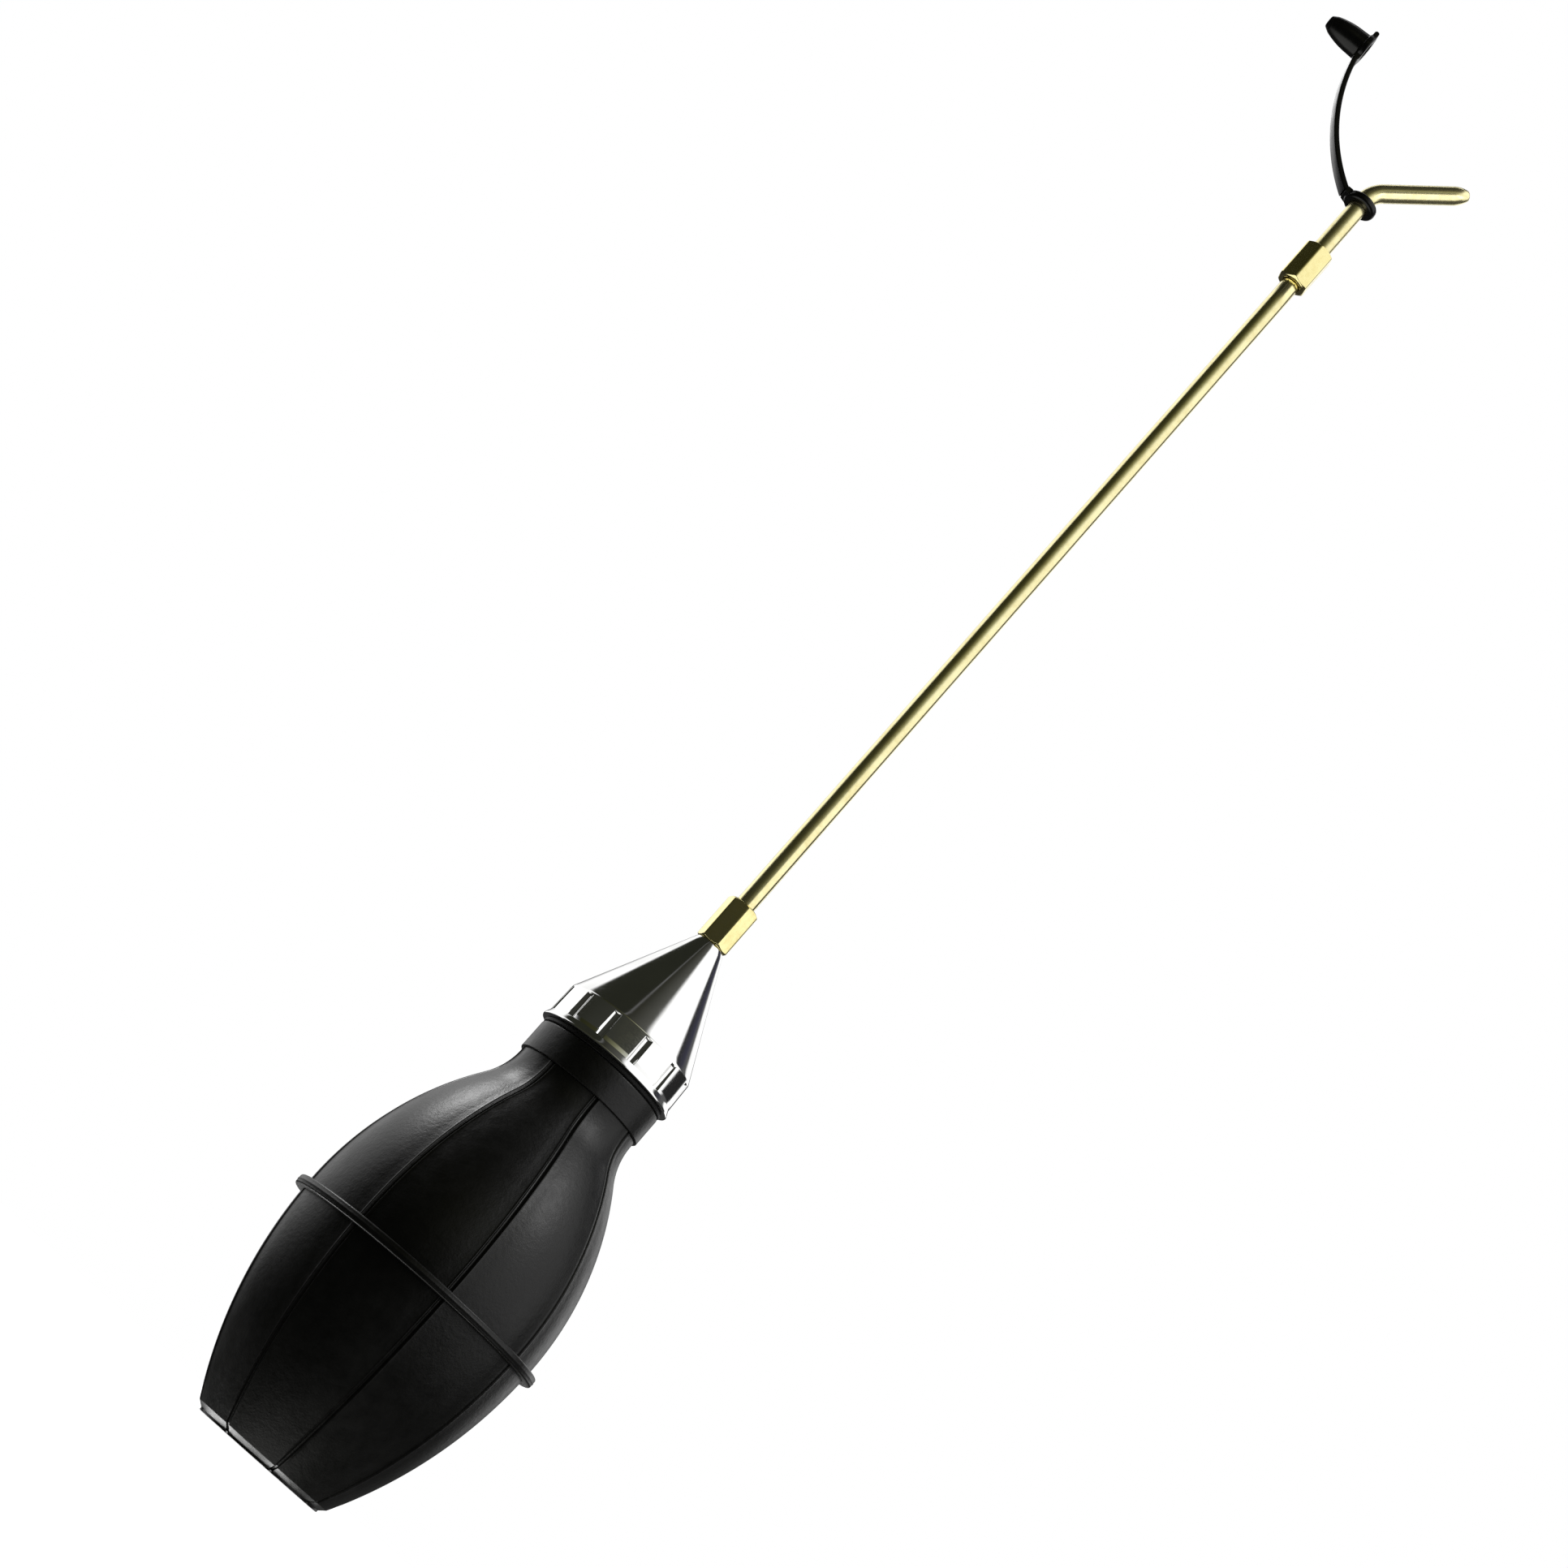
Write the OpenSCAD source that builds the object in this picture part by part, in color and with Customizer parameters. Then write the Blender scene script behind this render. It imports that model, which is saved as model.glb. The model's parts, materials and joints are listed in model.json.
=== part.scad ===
// Rubber bulb powder duster with a screw-on metal cone cap, a long brass
// lance, a bent brass nozzle and a rubber tip cap on a tether.
// +Z runs up the bulb and the lance, the origin is the centre of the flat base,
// and the nozzle bends towards +X. Millimetres.

/* [Bulb] */
// Widest radius of the rubber body
bulb_r = 42.2; // [38:0.1:43.5]
// Height of the widest point above the base
widest_z = 70; // [66:1:76]
// Sweep of the lower wall's arc, from the widest point down to the base edge
lower_sweep = 30; // [26:1:32]
// Radius of the rounded edge of the base
base_fillet = 5; // [1.5:0.5:6]
// Height of the neck's narrowest point
neck_z = 136.5; // [132:0.5:136.5]
// Radius of the neck at its narrowest point
neck_r = 21.6; // [21.2:0.1:22]
// Radius of the hollow curve between shoulder and neck
neck_curve = 22; // [16:1:26]
// Thickness of the rubber wall
wall = 3; // [3:0.1:3.2]
// Thickness of the bulb's floor
floor_t = 4; // [3:0.5:6]

/* [Collar and belly ring] */
// Height of the collar's lower edge
collar_z = 137.5; // [137:0.5:138.5]
// Radius of the collar
collar_r = 22.4; // [22.2:0.1:23]
// Height of the collar's top face
collar_top = 147.5; // [147.5:0.5:149]
// Radius of the ring where the two moulded halves meet
ring_r = 45; // [43.8:0.1:46]
// Thickness of that ring
ring_t = 3; // [2:0.5:5]
// Height of the joint between the two halves
ring_z = 66; // [62:1:68]

/* [Seam grooves] */
// Number of grooves round the bulb
seams = 8; // [6:2:12]
// Width of a groove
seam_w = 1.3; // [0.8:0.1:2]
// Depth of a groove
seam_d = 0.6; // [0.3:0.1:1]
// Angle of the first groove
seam_turn = -75; // [-90:1:90]

/* [Squeeze walls] */
// Half width of the part of the wall that a hand presses in
squeeze_w = 19; // [15:1:21]
// Lower edge of that part
squeeze_z0 = 34; // [30:1:40]
// Upper edge of that part
squeeze_z1 = 104; // [98:1:106]
// Gap round it
squeeze_gap = 0.35; // [0.3:0.05:0.5]
// Direction of the right-hand squeeze wall, square to a pair of grooves
squeeze_turn = 15; // [-30:45:60]

/* [Neck insert and cone cap] */
// Outer radius of the insert's threaded neck
insert_r = 18.5; // [18.2:0.1:18.5]
// Height of the threaded neck above the collar
insert_h = 10; // [9:0.5:11]
// Wall thickness of the insert
insert_t = 2; // [1.5:0.1:2.5]
// Thickness of the gasket under the cap
gasket_t = 1.5; // [1:0.1:2]
// Height of the cap, from its rim to its tip
cap_h = 49; // [47:0.5:52]
// Height of the grip band, rim included
band_h = 12; // [11:0.5:13]
// Radius of the flared rim
rim_r = 24; // [23.6:0.1:24.4]
// Radius of the grip band
band_r = 23.1; // [22.9:0.1:23.3]
// Radius of the cone at its foot, where it meets the grip band in a crease
cone_r = 22.8; // [22.4:0.1:22.8]
// Radius of the cone's tip
tip_r = 4.9; // [4.7:0.1:5.2]
// Number of finger grooves
grips = 12; // [8:1:16]
// Radius of a finger groove's round bottom
grip_r = 1.5; // [1.2:0.1:2]
// Depth of a finger groove
grip_d = 1; // [0.8:0.1:1.1]
// Plain metal left between a finger groove's top and the foot of the cone
grip_end = 0.7; // [0.3:0.1:2]

/* [Brass lance] */
// Size of the hexagon across its flats, a stock 10 mm bar
hex_af = 10; // [9.5:0.1:10.5]
// Length of a hex coupler
hex_h = 16; // [15:0.5:18]
// Outer radius of the brass tube, a stock 1/4 inch tube
tube_r = 3.175; // [3.1:0.005:3.2]
// Wall thickness of the brass tube
tube_t = 0.8; // [0.6:0.1:0.9]
// Distance from the cone's tip to the upper coupler
lance_h = 295.5; // [200:0.5:320]
// Turn of the lower coupler
hex_turn_1 = -70; // [-120:1:-60]
// Turn of the upper coupler
hex_turn_2 = -94; // [-120:1:-60]

/* [Nozzle] */
// Length of the straight stretch above the upper coupler
nozzle_up = 24.5; // [20:0.5:30]
// Radius of the bend's centre line
bend_r = 10; // [9:0.5:14]
// Angle of the bend
bend_a = 48; // [30:1:60]
// Length of the straight end, rounded tip included
nozzle_out = 29.5; // [20:0.5:36]
// Radius of the outlet hole
outlet_r = 1; // [0.8:0.1:1.3]

/* [Tether and tip cap] */
// Radius of the ring that grips the nozzle
tether_r = 6; // [5.5:0.1:6.5]
// Thickness of that ring
tether_t = 3; // [2.5:0.1:3.5]
// Width of the strap
strap_w = 6; // [4:0.1:6.5]
// Thickness of the strap
strap_t = 1.8; // [1.4:0.1:1.8]
// Radius of the strap's curve
strap_r = 65; // [55:1:80]
// Heading of the strap where it leaves the ring
strap_a = 145; // [140:1:150]
// Angle that the strap turns through
strap_sweep = 43; // [36:1:46]
// Radius of the tip cap's body at its flange
tipcap_r = 4.9; // [4.8:0.05:5]
// Length of the tip cap
tipcap_l = 16.5; // [14:0.5:17]
// Radius of the tip cap's flange
flange_r = 5.5; // [5.3:0.1:5.6]
// Thickness of the tip cap's flange
flange_t = 2.2; // [1.6:0.1:2.4]
// Height of the pull tab above the cap's axis
tab_h = 6.8; // [6.5:0.1:10]

/* [Hidden] */
$fn = 64;

// Clearances: a turning fit, a soldered or bonded fit, and a cut's overshoot
run_gap = 0.07;
bond_gap = 0.02;
over = 1;

// The bulb's wall is two arcs and a hollow neck curve, all tangent
lower_r = (widest_z - base_fillet * (1 - sin(lower_sweep))) / sin(lower_sweep);
base_edge_r = bulb_r - lower_r * (1 - cos(lower_sweep));
neck_drop = bulb_r - neck_r;
neck_rise = neck_z - widest_z;
arc_sum = (neck_drop * neck_drop + neck_rise * neck_rise) / (2 * neck_drop);
upper_r = arc_sum - neck_curve;
upper_sweep = asin(neck_rise / arc_sum);
collar_round = 0.8;

// Bore of the neck, and the pocket for the insert's flange
neck_bore = neck_r - wall;
flange_pocket_r = 20.6;
flange_pocket_h = 1.2;
insert_foot = 130;

// Cone cap heights
rim_z = collar_top + gasket_t;
band_top = rim_z + band_h;
tip_z = rim_z + cap_h;
cone_slope = (cone_r - tip_r) / (tip_z - band_top);
cone_wall = 1.65;
cap_bore = insert_r + run_gap;
boss_z = tip_z - 10;
thread_pitch = 3;
thread_depth = 0.7;

// Lance heights and radii
nipple_r = 3.5;
nipple_bore = 2;
nipple_h = 7;
seal_t = 1.5;
small_pitch = 1;
hex_r = hex_af / sqrt(3);
socket_1 = nipple_h + seal_t;
shoulder = 1;
tube_z0 = tip_z + socket_1 + shoulder;
coupler_2 = tip_z + lance_h;
tube_in = 7.5;
tube_z1 = coupler_2 + tube_in;
tube_bore = tube_r - tube_t;
nozzle_z0 = tube_z1 + seal_t + shoulder;
bend_z = coupler_2 + hex_h + nozzle_up;

// Tether: the strap starts beside the ring, which sits just under the bend
tether_z = bend_z - tether_t / 2;
strap_start = [-(tether_r + 1.5), tether_z + 0.6];
strap_c = strap_start + strap_r * [sin(strap_a), -cos(strap_a)];
strap_end_a = strap_a - strap_sweep;
strap_end = strap_c - strap_r * [sin(strap_end_a), -cos(strap_end_a)];
lug_gap = strap_t / 2 + 0.3;
cap_mouth = [strap_end.x + flange_t / 2, strap_end.y + flange_r + lug_gap];
socket_r = tube_r + run_gap;
socket_l = 9;

// Points along an arc, both ends included
function arc(c, r, from, to, steps) =
    [for (i = [0:steps]) c + r * [cos(from + (to - from) * i / steps), sin(from + (to - from) * i / steps)]];

// The bulb's side, moved in from its outer face by d, from the base up to the neck
function side(d) = concat(
    arc([bulb_r - lower_r, widest_z], lower_r - d, -lower_sweep, 0, 10),
    arc([bulb_r - upper_r, widest_z], upper_r - d, upper_sweep / 10, upper_sweep, 9),
    arc([neck_r + neck_curve, neck_z], neck_curve + d, 180 + upper_sweep * 0.8, 180, 4));

// The same side, cut off at the cavity's floor
function cavity_side() =
    let (r = lower_r - wall, low = -asin((widest_z - floor_t) / r))
    concat(arc([bulb_r - lower_r, widest_z], r, low, 0, 10),
           arc([bulb_r - upper_r, widest_z], upper_r - wall, upper_sweep / 10, upper_sweep, 9),
           arc([neck_r + neck_curve, neck_z], neck_curve + wall, 180 + upper_sweep * 0.8, 180, 4));

// Ribs that stand for a thread: pairs of points, one pair for each crest
function ribs(r, depth, pitch, z0, count) =
    [for (i = [0:count - 1], p = [[-depth, 0], [0, 0.3], [0, 0.5], [-depth, 0.8]])
        [r + p.x, z0 + (i + p.y) * pitch]];

module bulb_outline() {
    base_c = [base_edge_r - base_fillet * cos(lower_sweep), base_fillet];
    polygon(concat(
        [[0, 0]],
        arc(base_c, base_fillet, -90, -lower_sweep, 4),
        side(0),
        [[neck_r, collar_z], [collar_r, collar_z]],
        arc([collar_r - collar_round, collar_top - collar_round], collar_round, 0, 90, 4),
        [[0, collar_top]]));
}

module cavity_outline() {
    polygon(concat(
        [[0, floor_t], [cavity_side()[0].x, floor_t]],
        cavity_side(),
        [[neck_bore, collar_top - flange_pocket_h],
         [flange_pocket_r + bond_gap, collar_top - flange_pocket_h],
         [flange_pocket_r + bond_gap, collar_top + over],
         [0, collar_top + over]]));
}

// What one groove takes away: a thin plate along the side and under the base,
// which leaves a plain disc in the middle of the base
module seam_cut() {
    disc_r = 6;
    rotate([90, 0, 0])
        linear_extrude(seam_w, center = true)
            polygon(concat(
                [[disc_r, -over], [disc_r, seam_d], [base_edge_r - base_fillet, seam_d]],
                side(seam_d),
                [[neck_r - seam_d, collar_z], [bulb_r + over, collar_z], [bulb_r + over, -over]]));
}

module bulb() {
    difference() {
        union() {
            difference() {
                rotate_extrude() bulb_outline();
                for (i = [0:seams - 1])
                    rotate([0, 0, seam_turn + i * 360 / seams]) seam_cut();
            }
            translate([0, 0, ring_z - ring_t / 2]) belly_ring();
        }
        rotate_extrude() cavity_outline();
    }
}

module belly_ring() {
    edge = 0.5;
    rotate_extrude()
        polygon([[bulb_r - wall / 2, 0], [ring_r - edge, 0], [ring_r, edge],
                 [ring_r, ring_t - edge], [ring_r - edge, ring_t], [bulb_r - wall / 2, ring_t]]);
}

// The window of the squeeze walls, grown by a gap
module squeeze_window(gap) {
    translate([bulb_r / 3, -squeeze_w - gap, squeeze_z0 - gap])
        cube([bulb_r, 2 * (squeeze_w + gap), squeeze_z1 - squeeze_z0 + 2 * gap]);
}

module bulb_band(z0, z1) {
    difference() {
        intersection() {
            bulb();
            translate([-2 * bulb_r, -2 * bulb_r, z0]) cube([4 * bulb_r, 4 * bulb_r, z1 - z0]);
        }
        for (a = [0, 180]) rotate([0, 0, squeeze_turn + a]) squeeze_window(squeeze_gap);
    }
}

module bulb_lower_shell() {
    color([0.12, 0.12, 0.12]) bulb_band(-over, ring_z);
}

module bulb_upper_shell() {
    color([0.16, 0.16, 0.16]) bulb_band(ring_z, collar_top + over);
}

module squeeze_wall(turn) {
    color([0.2, 0.2, 0.2])
        intersection() {
            bulb();
            rotate([0, 0, squeeze_turn + turn]) squeeze_window(0);
        }
}

// Sleeve bonded into the rubber neck, its flange in the collar's pocket and
// its threaded neck standing above the collar
module neck_insert() {
    thread_r = insert_r - thread_depth;
    color([0.6, 0.6, 0.62])
        rotate_extrude()
            polygon(concat(
                [[insert_r - insert_t, insert_foot],
                 [neck_bore - bond_gap, insert_foot],
                 [neck_bore - bond_gap, collar_top - flange_pocket_h],
                 [flange_pocket_r, collar_top - flange_pocket_h],
                 [flange_pocket_r, collar_top],
                 [thread_r, collar_top]],
                ribs(insert_r, thread_depth, thread_pitch, collar_top + 0.5, 3),
                [[thread_r, collar_top + insert_h], [insert_r - insert_t, collar_top + insert_h]]));
}

module cap_gasket() {
    color([0.05, 0.05, 0.05])
        translate([0, 0, collar_top])
            difference() {
                cylinder(h = gasket_t, r = collar_r);
                translate([0, 0, -over]) cylinder(h = gasket_t + 2 * over, r = cap_bore);
            }
}

module cap_outline() {
    flare_h = 2.4;
    bore_top = band_top + (cone_r - cone_wall - cap_bore) / cone_slope;
    boss_r = cone_r - cone_wall - (boss_z - band_top) * cone_slope;
    polygon([[cap_bore, rim_z], [rim_r - 0.3, rim_z], [rim_r, rim_z + 0.4], [band_r, rim_z + flare_h],
             [cone_r, band_top], [tip_r, tip_z],
             [nipple_r + bond_gap, tip_z], [nipple_r + bond_gap, boss_z],
             [boss_r, boss_z], [cap_bore, bore_top]]);
}

// A finger groove with a round bottom, which stops just short of the cone's foot
module grip_cut() {
    z0 = rim_z + 2.4;
    translate([band_r - grip_d + grip_r, 0, z0]) cylinder(h = band_top - grip_end - z0, r = grip_r);
}

module cone_cap() {
    grip_turn = -75;
    color([0.78, 0.79, 0.8])
        difference() {
            rotate_extrude() cap_outline();
            for (i = [0:grips - 1])
                rotate([0, 0, grip_turn + i * 360 / grips]) grip_cut();
        }
}

// Threaded brass stud in the cone's tip
module tip_nipple() {
    root = nipple_r - 0.3;
    color([0.8, 0.68, 0.36])
        rotate_extrude()
            polygon(concat(
                [[nipple_bore, boss_z], [nipple_r, boss_z], [nipple_r, tip_z]],
                ribs(nipple_r, 0.3, small_pitch, tip_z + 0.4, 6),
                [[root, tip_z + nipple_h], [nipple_bore, tip_z + nipple_h]]));
}

module washer(z, r_out, r_in) {
    translate([0, 0, z])
        difference() {
            cylinder(h = seal_t, r = r_out);
            translate([0, 0, -over]) cylinder(h = seal_t + 2 * over, r = r_in);
        }
}

module lower_seal() {
    color([0.1, 0.1, 0.1]) washer(tip_z + nipple_h, nipple_r - 0.1, nipple_bore);
}

module upper_seal() {
    color([0.1, 0.1, 0.1]) washer(tube_z1, tube_r - 0.1, nipple_bore);
}

// Hexagon bar with both ends turned to a cone and its corners skimmed round
module hex_bar(z, turn) {
    end_r = 4.6;
    cut = 0.8;
    out_r = hex_r - 0.2;
    out_cut = cut * (out_r - end_r) / (hex_r - end_r);
    translate([0, 0, z])
        intersection() {
            rotate([0, 0, turn]) cylinder(h = hex_h, r = hex_r, $fn = 6);
            rotate_extrude()
                polygon([[0, 0], [end_r, 0], [out_r, out_cut],
                         [out_r, hex_h - out_cut], [end_r, hex_h], [0, hex_h]]);
        }
}

// A coupler: a hexagon with a threaded socket below, a shoulder, and the
// pocket above that a tube is soldered into
module coupler(z, turn, socket_r, socket_h) {
    difference() {
        hex_bar(z, turn);
        translate([0, 0, z - over]) cylinder(h = socket_h + over, r = socket_r);
        translate([0, 0, z]) cylinder(h = hex_h, r = nipple_bore);
        translate([0, 0, z + socket_h + shoulder]) cylinder(h = hex_h, r = tube_r + bond_gap);
    }
}

module lower_coupler() {
    color([0.83, 0.72, 0.4]) coupler(tip_z, hex_turn_1, nipple_r + run_gap, socket_1);
}

module upper_coupler() {
    color([0.83, 0.72, 0.4]) coupler(coupler_2, hex_turn_2, tube_r + run_gap, tube_in + seal_t);
}

module extension_tube() {
    color([0.85, 0.75, 0.44])
        translate([0, 0, tube_z0])
            difference() {
                cylinder(h = tube_z1 - tube_z0, r = tube_r);
                translate([0, 0, -over]) cylinder(h = tube_z1 - tube_z0 + 2 * over, r = tube_bore);
            }
}

// Places its children where the nozzle's straight end starts, along its axis
module after_bend() {
    translate([bend_r, 0, bend_z])
        rotate([0, bend_a, 0])
            translate([-bend_r, 0, 0]) children();
}

// Bent tube: a straight stretch, the bend, and a straight end that closes in to
// a rounded tip round the outlet
module nozzle_tube() {
    tip_l = 5.5;
    tip_wall = 2;
    tip_drop = tube_r - outlet_r - 0.6;
    nose_r = (tip_drop * tip_drop + tip_l * tip_l) / (2 * tip_drop);
    color([0.85, 0.75, 0.44]) {
        translate([0, 0, nozzle_z0])
            difference() {
                cylinder(h = bend_z - nozzle_z0, r = tube_r);
                translate([0, 0, -over]) cylinder(h = bend_z - nozzle_z0 + 2 * over, r = tube_bore);
            }
        translate([bend_r, 0, bend_z])
            rotate([90, 0, 180])
                rotate_extrude(angle = bend_a)
                    translate([bend_r, 0])
                        difference() {
                            circle(r = tube_r);
                            circle(r = tube_bore);
                        }
        after_bend()
            rotate_extrude()
                polygon(concat(
                    [[tube_bore, 0], [tube_r, 0]],
                    arc([tube_r - nose_r, nozzle_out - tip_l], nose_r, 0, asin(tip_l / nose_r), 5),
                    [[outlet_r, nozzle_out], [outlet_r, nozzle_out - tip_wall],
                     [tube_bore, nozzle_out - tip_wall - 0.8]]));
    }
}

// Ring with rounded outer edges and a short lug that the strap leaves from
module tether_ring() {
    edge = 1.1;
    half = tether_t / 2;
    lug = [[-tether_r + 0.8, -half + 0.4], [strap_start.x + lug_gap, strap_start.y - tether_z - strap_t / 2],
           [strap_start.x + lug_gap, strap_start.y - tether_z + strap_t / 2], [-tether_r + 0.8, half - 0.1]];
    color([0.1, 0.1, 0.1])
        translate([0, 0, tether_z]) {
            rotate_extrude()
                polygon(concat(
                    [[tube_r + run_gap, -half]],
                    arc([tether_r - edge, -half + edge], edge, -90, 0, 4),
                    arc([tether_r - edge, half - edge], edge, 0, 90, 4),
                    [[tube_r + run_gap, half]]));
            rotate([90, 0, 0]) linear_extrude(strap_w, center = true) polygon(lug);
        }
}

// Curved flat strap with round ends, where it flexes against the ring and the cap
module tether_strap() {
    from = atan2(strap_start.y - strap_c.y, strap_start.x - strap_c.x);
    to = from - strap_sweep;
    color([0.1, 0.1, 0.1])
        rotate([90, 0, 0])
            linear_extrude(strap_w, center = true)
                polygon(concat(
                    arc(strap_c, strap_r + strap_t / 2, from, to, 16),
                    arc(strap_end, strap_t / 2, to - 30, to - 150, 4),
                    arc(strap_c, strap_r - strap_t / 2, to, from, 16),
                    arc(strap_start, strap_t / 2, from + 150, from + 30, 4)));
}

// Bullet-shaped cap that lies along -X, mouth towards +X, with a flange, a
// pull tab above and a lug below that the strap ends at
module tip_cap() {
    body_l = 5;
    body_r = 4.7;
    blunt_r = 2.4;
    nose_l = tipcap_l - body_l;
    nose_drop = body_r - blunt_r;
    nose_r = (nose_drop * nose_drop + nose_l * nose_l) / (2 * nose_drop);
    nose_a = asin(nose_l / nose_r);
    tab_t = 1.8;
    tab_w = strap_w;
    color([0.1, 0.1, 0.1])
        translate([cap_mouth.x, 0, cap_mouth.y]) {
            rotate([0, -90, 0])
                difference() {
                    rotate_extrude()
                        polygon(concat(
                            [[0, 0], [flange_r - 0.3, 0], [flange_r, 0.3], [flange_r, flange_t - 0.3],
                             [flange_r - 0.3, flange_t], [tipcap_r, flange_t]],
                            arc([body_r - nose_r, body_l], nose_r, 0, nose_a, 8),
                            [[0, tipcap_l]]));
                    translate([0, 0, -over]) cylinder(h = socket_l + over, r = socket_r);
                }
            tab_plate(flange_t / 2, flange_r - 0.9, tab_h, tab_t, tab_w);
            tab_plate(flange_t / 2, -flange_r, -flange_r + 0.9, flange_t, tab_w);
        }
}

// A plate in the flange's plane, from one height to another, set back by x
module tab_plate(x, z0, z1, t, w) {
    translate([-x - t / 2, -w / 2, z0]) cube([t, w, z1 - z0]);
}

bulb_lower_shell();
bulb_upper_shell();
squeeze_wall(180);  // squeeze_wall_left
squeeze_wall(0);  // squeeze_wall_right
neck_insert();
cap_gasket();
cone_cap();
tip_nipple();
lower_seal();
lower_coupler();
extension_tube();
upper_seal();
upper_coupler();
nozzle_tube();
tether_ring();
tether_strap();
tip_cap();
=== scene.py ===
"""Looks of a rubber bulb duster with a chromed cone cap and a brass lance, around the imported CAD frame."""
import json
import math

import bmesh
import bpy
from mathutils import Matrix, Vector

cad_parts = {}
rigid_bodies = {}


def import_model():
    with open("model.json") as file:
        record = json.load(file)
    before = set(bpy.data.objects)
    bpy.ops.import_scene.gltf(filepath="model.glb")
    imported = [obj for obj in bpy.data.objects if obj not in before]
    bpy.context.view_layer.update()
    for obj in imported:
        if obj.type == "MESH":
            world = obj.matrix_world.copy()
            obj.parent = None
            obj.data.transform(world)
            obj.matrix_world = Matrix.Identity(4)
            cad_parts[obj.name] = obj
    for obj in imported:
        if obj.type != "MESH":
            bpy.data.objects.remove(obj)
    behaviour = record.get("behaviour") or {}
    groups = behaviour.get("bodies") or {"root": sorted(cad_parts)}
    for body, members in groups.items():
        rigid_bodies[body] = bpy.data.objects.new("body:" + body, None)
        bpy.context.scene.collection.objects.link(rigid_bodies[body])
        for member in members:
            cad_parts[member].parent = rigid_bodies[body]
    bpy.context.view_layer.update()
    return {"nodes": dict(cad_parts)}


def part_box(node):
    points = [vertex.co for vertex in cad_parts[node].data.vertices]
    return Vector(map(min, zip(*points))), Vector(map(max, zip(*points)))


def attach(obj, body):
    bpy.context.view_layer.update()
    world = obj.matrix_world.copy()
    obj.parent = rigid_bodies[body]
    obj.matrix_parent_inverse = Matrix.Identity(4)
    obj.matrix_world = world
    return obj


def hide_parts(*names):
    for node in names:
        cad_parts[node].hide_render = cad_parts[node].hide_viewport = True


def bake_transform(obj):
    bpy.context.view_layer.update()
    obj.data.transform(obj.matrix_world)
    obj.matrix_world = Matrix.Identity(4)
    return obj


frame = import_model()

MM = 0.001


def low(node):
    """A CAD node's lowest corner, in millimetres."""
    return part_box(node)[0] / MM


def high(node):
    """A CAD node's highest corner, in millimetres."""
    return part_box(node)[1] / MM


def arc(centre, radius, start, stop, count):
    """Points along an arc, both ends included. Angles are in degrees."""
    made = []
    for i in range(count + 1):
        a = math.radians(start + (stop - start) * i / count)
        made.append((centre[0] + radius * math.cos(a), centre[1] + radius * math.sin(a)))
    return made


def arc_point(centre, radius, angle):
    """The one point of a circle at an angle in degrees."""
    return arc(centre, radius, angle, angle, 1)[0]


def line(a, b, count):
    """Points along a straight line, both ends included."""
    return [tuple(a[k] + (b[k] - a[k]) * i / count for k in range(len(a))) for i in range(count + 1)]


def resample(path, count):
    """The given number of points spread evenly along a path of 2-D points."""
    lengths = [0.0]
    for a, b in zip(path, path[1:]):
        lengths.append(lengths[-1] + math.dist(a, b))
    made, k = [], 0
    for i in range(count):
        want = lengths[-1] * i / (count - 1)
        while k < len(path) - 2 and lengths[k + 1] < want:
            k += 1
        span = lengths[k + 1] - lengths[k]
        t = 0 if span == 0 else (want - lengths[k]) / span
        made.append(tuple(path[k][j] + (path[k + 1][j] - path[k][j]) * t for j in range(2)))
    return made


def smoothstep(a, b, x):
    """A smooth rise from 0 at a to 1 at b."""
    t = min(1.0, max(0.0, (x - a) / (b - a)))
    return t * t * (3 - 2 * t)


# ---------------------------------------------------------------- mesh tools

SHARP = 38  # degrees
MERGE = 1e-6  # metres
SLIVER = 1e-7  # metres


def finish_mesh(name, points, faces, sharp=SHARP):
    """A smooth-shaded closed object from points in millimetres; edges steeper than sharp stay crisp."""
    mesh = bpy.data.meshes.new(name)
    mesh.from_pydata([tuple(x * MM for x in p) for p in points], [], faces)
    bm = bmesh.new()
    bm.from_mesh(mesh)
    bmesh.ops.remove_doubles(bm, verts=bm.verts, dist=MERGE)
    bmesh.ops.dissolve_degenerate(bm, edges=bm.edges, dist=SLIVER)
    bmesh.ops.recalc_face_normals(bm, faces=bm.faces)
    for f in bm.faces:
        f.smooth = True
    for e in bm.edges:
        if e.is_manifold and e.calc_face_angle() > math.radians(sharp):
            e.smooth = False
    bm.to_mesh(mesh)
    bm.free()
    made = bpy.data.objects.new(name, mesh)
    bpy.context.scene.collection.objects.link(made)
    return made


def grid_faces(rows, columns, wrap_rows, wrap_columns, first=0):
    """Quads between neighbouring rows and columns of a grid of points."""
    faces = []
    for i in range(rows if wrap_rows else rows - 1):
        for j in range(columns if wrap_columns else columns - 1):
            i2, j2 = (i + 1) % rows, (j + 1) % columns
            faces.append((first + i * columns + j, first + i * columns + j2,
                          first + i2 * columns + j2, first + i2 * columns + j))
    return faces


def grid_object(name, rows, sharp=SHARP):
    """A ring-shaped object whose points come as rows of equal length, closed both ways."""
    points = [p for row in rows for p in row]
    return finish_mesh(name, points, grid_faces(len(rows), len(rows[0]), True, True), sharp)


def lathe(name, profile, columns, axis=None):
    """A turned piece from a closed outline of (radius, height) points; axis moves it off the Z axis."""
    rows = []
    for r, z in profile:
        row = []
        for j in range(columns):
            a = 2 * math.pi * j / columns
            p = Vector((r * math.cos(a), r * math.sin(a), z))
            row.append(tuple(axis @ p) if axis else tuple(p))
        rows.append(row)
    return grid_object(name, rows)


def weight_normals(obj):
    """Keeps the flats flat beside their rounded edges."""
    mod = obj.modifiers.new("flat faces", "WEIGHTED_NORMAL")
    mod.keep_sharp = True
    return obj


FUSE_VOXEL = 0.14
FUSE_ROUNDS = 8


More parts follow.
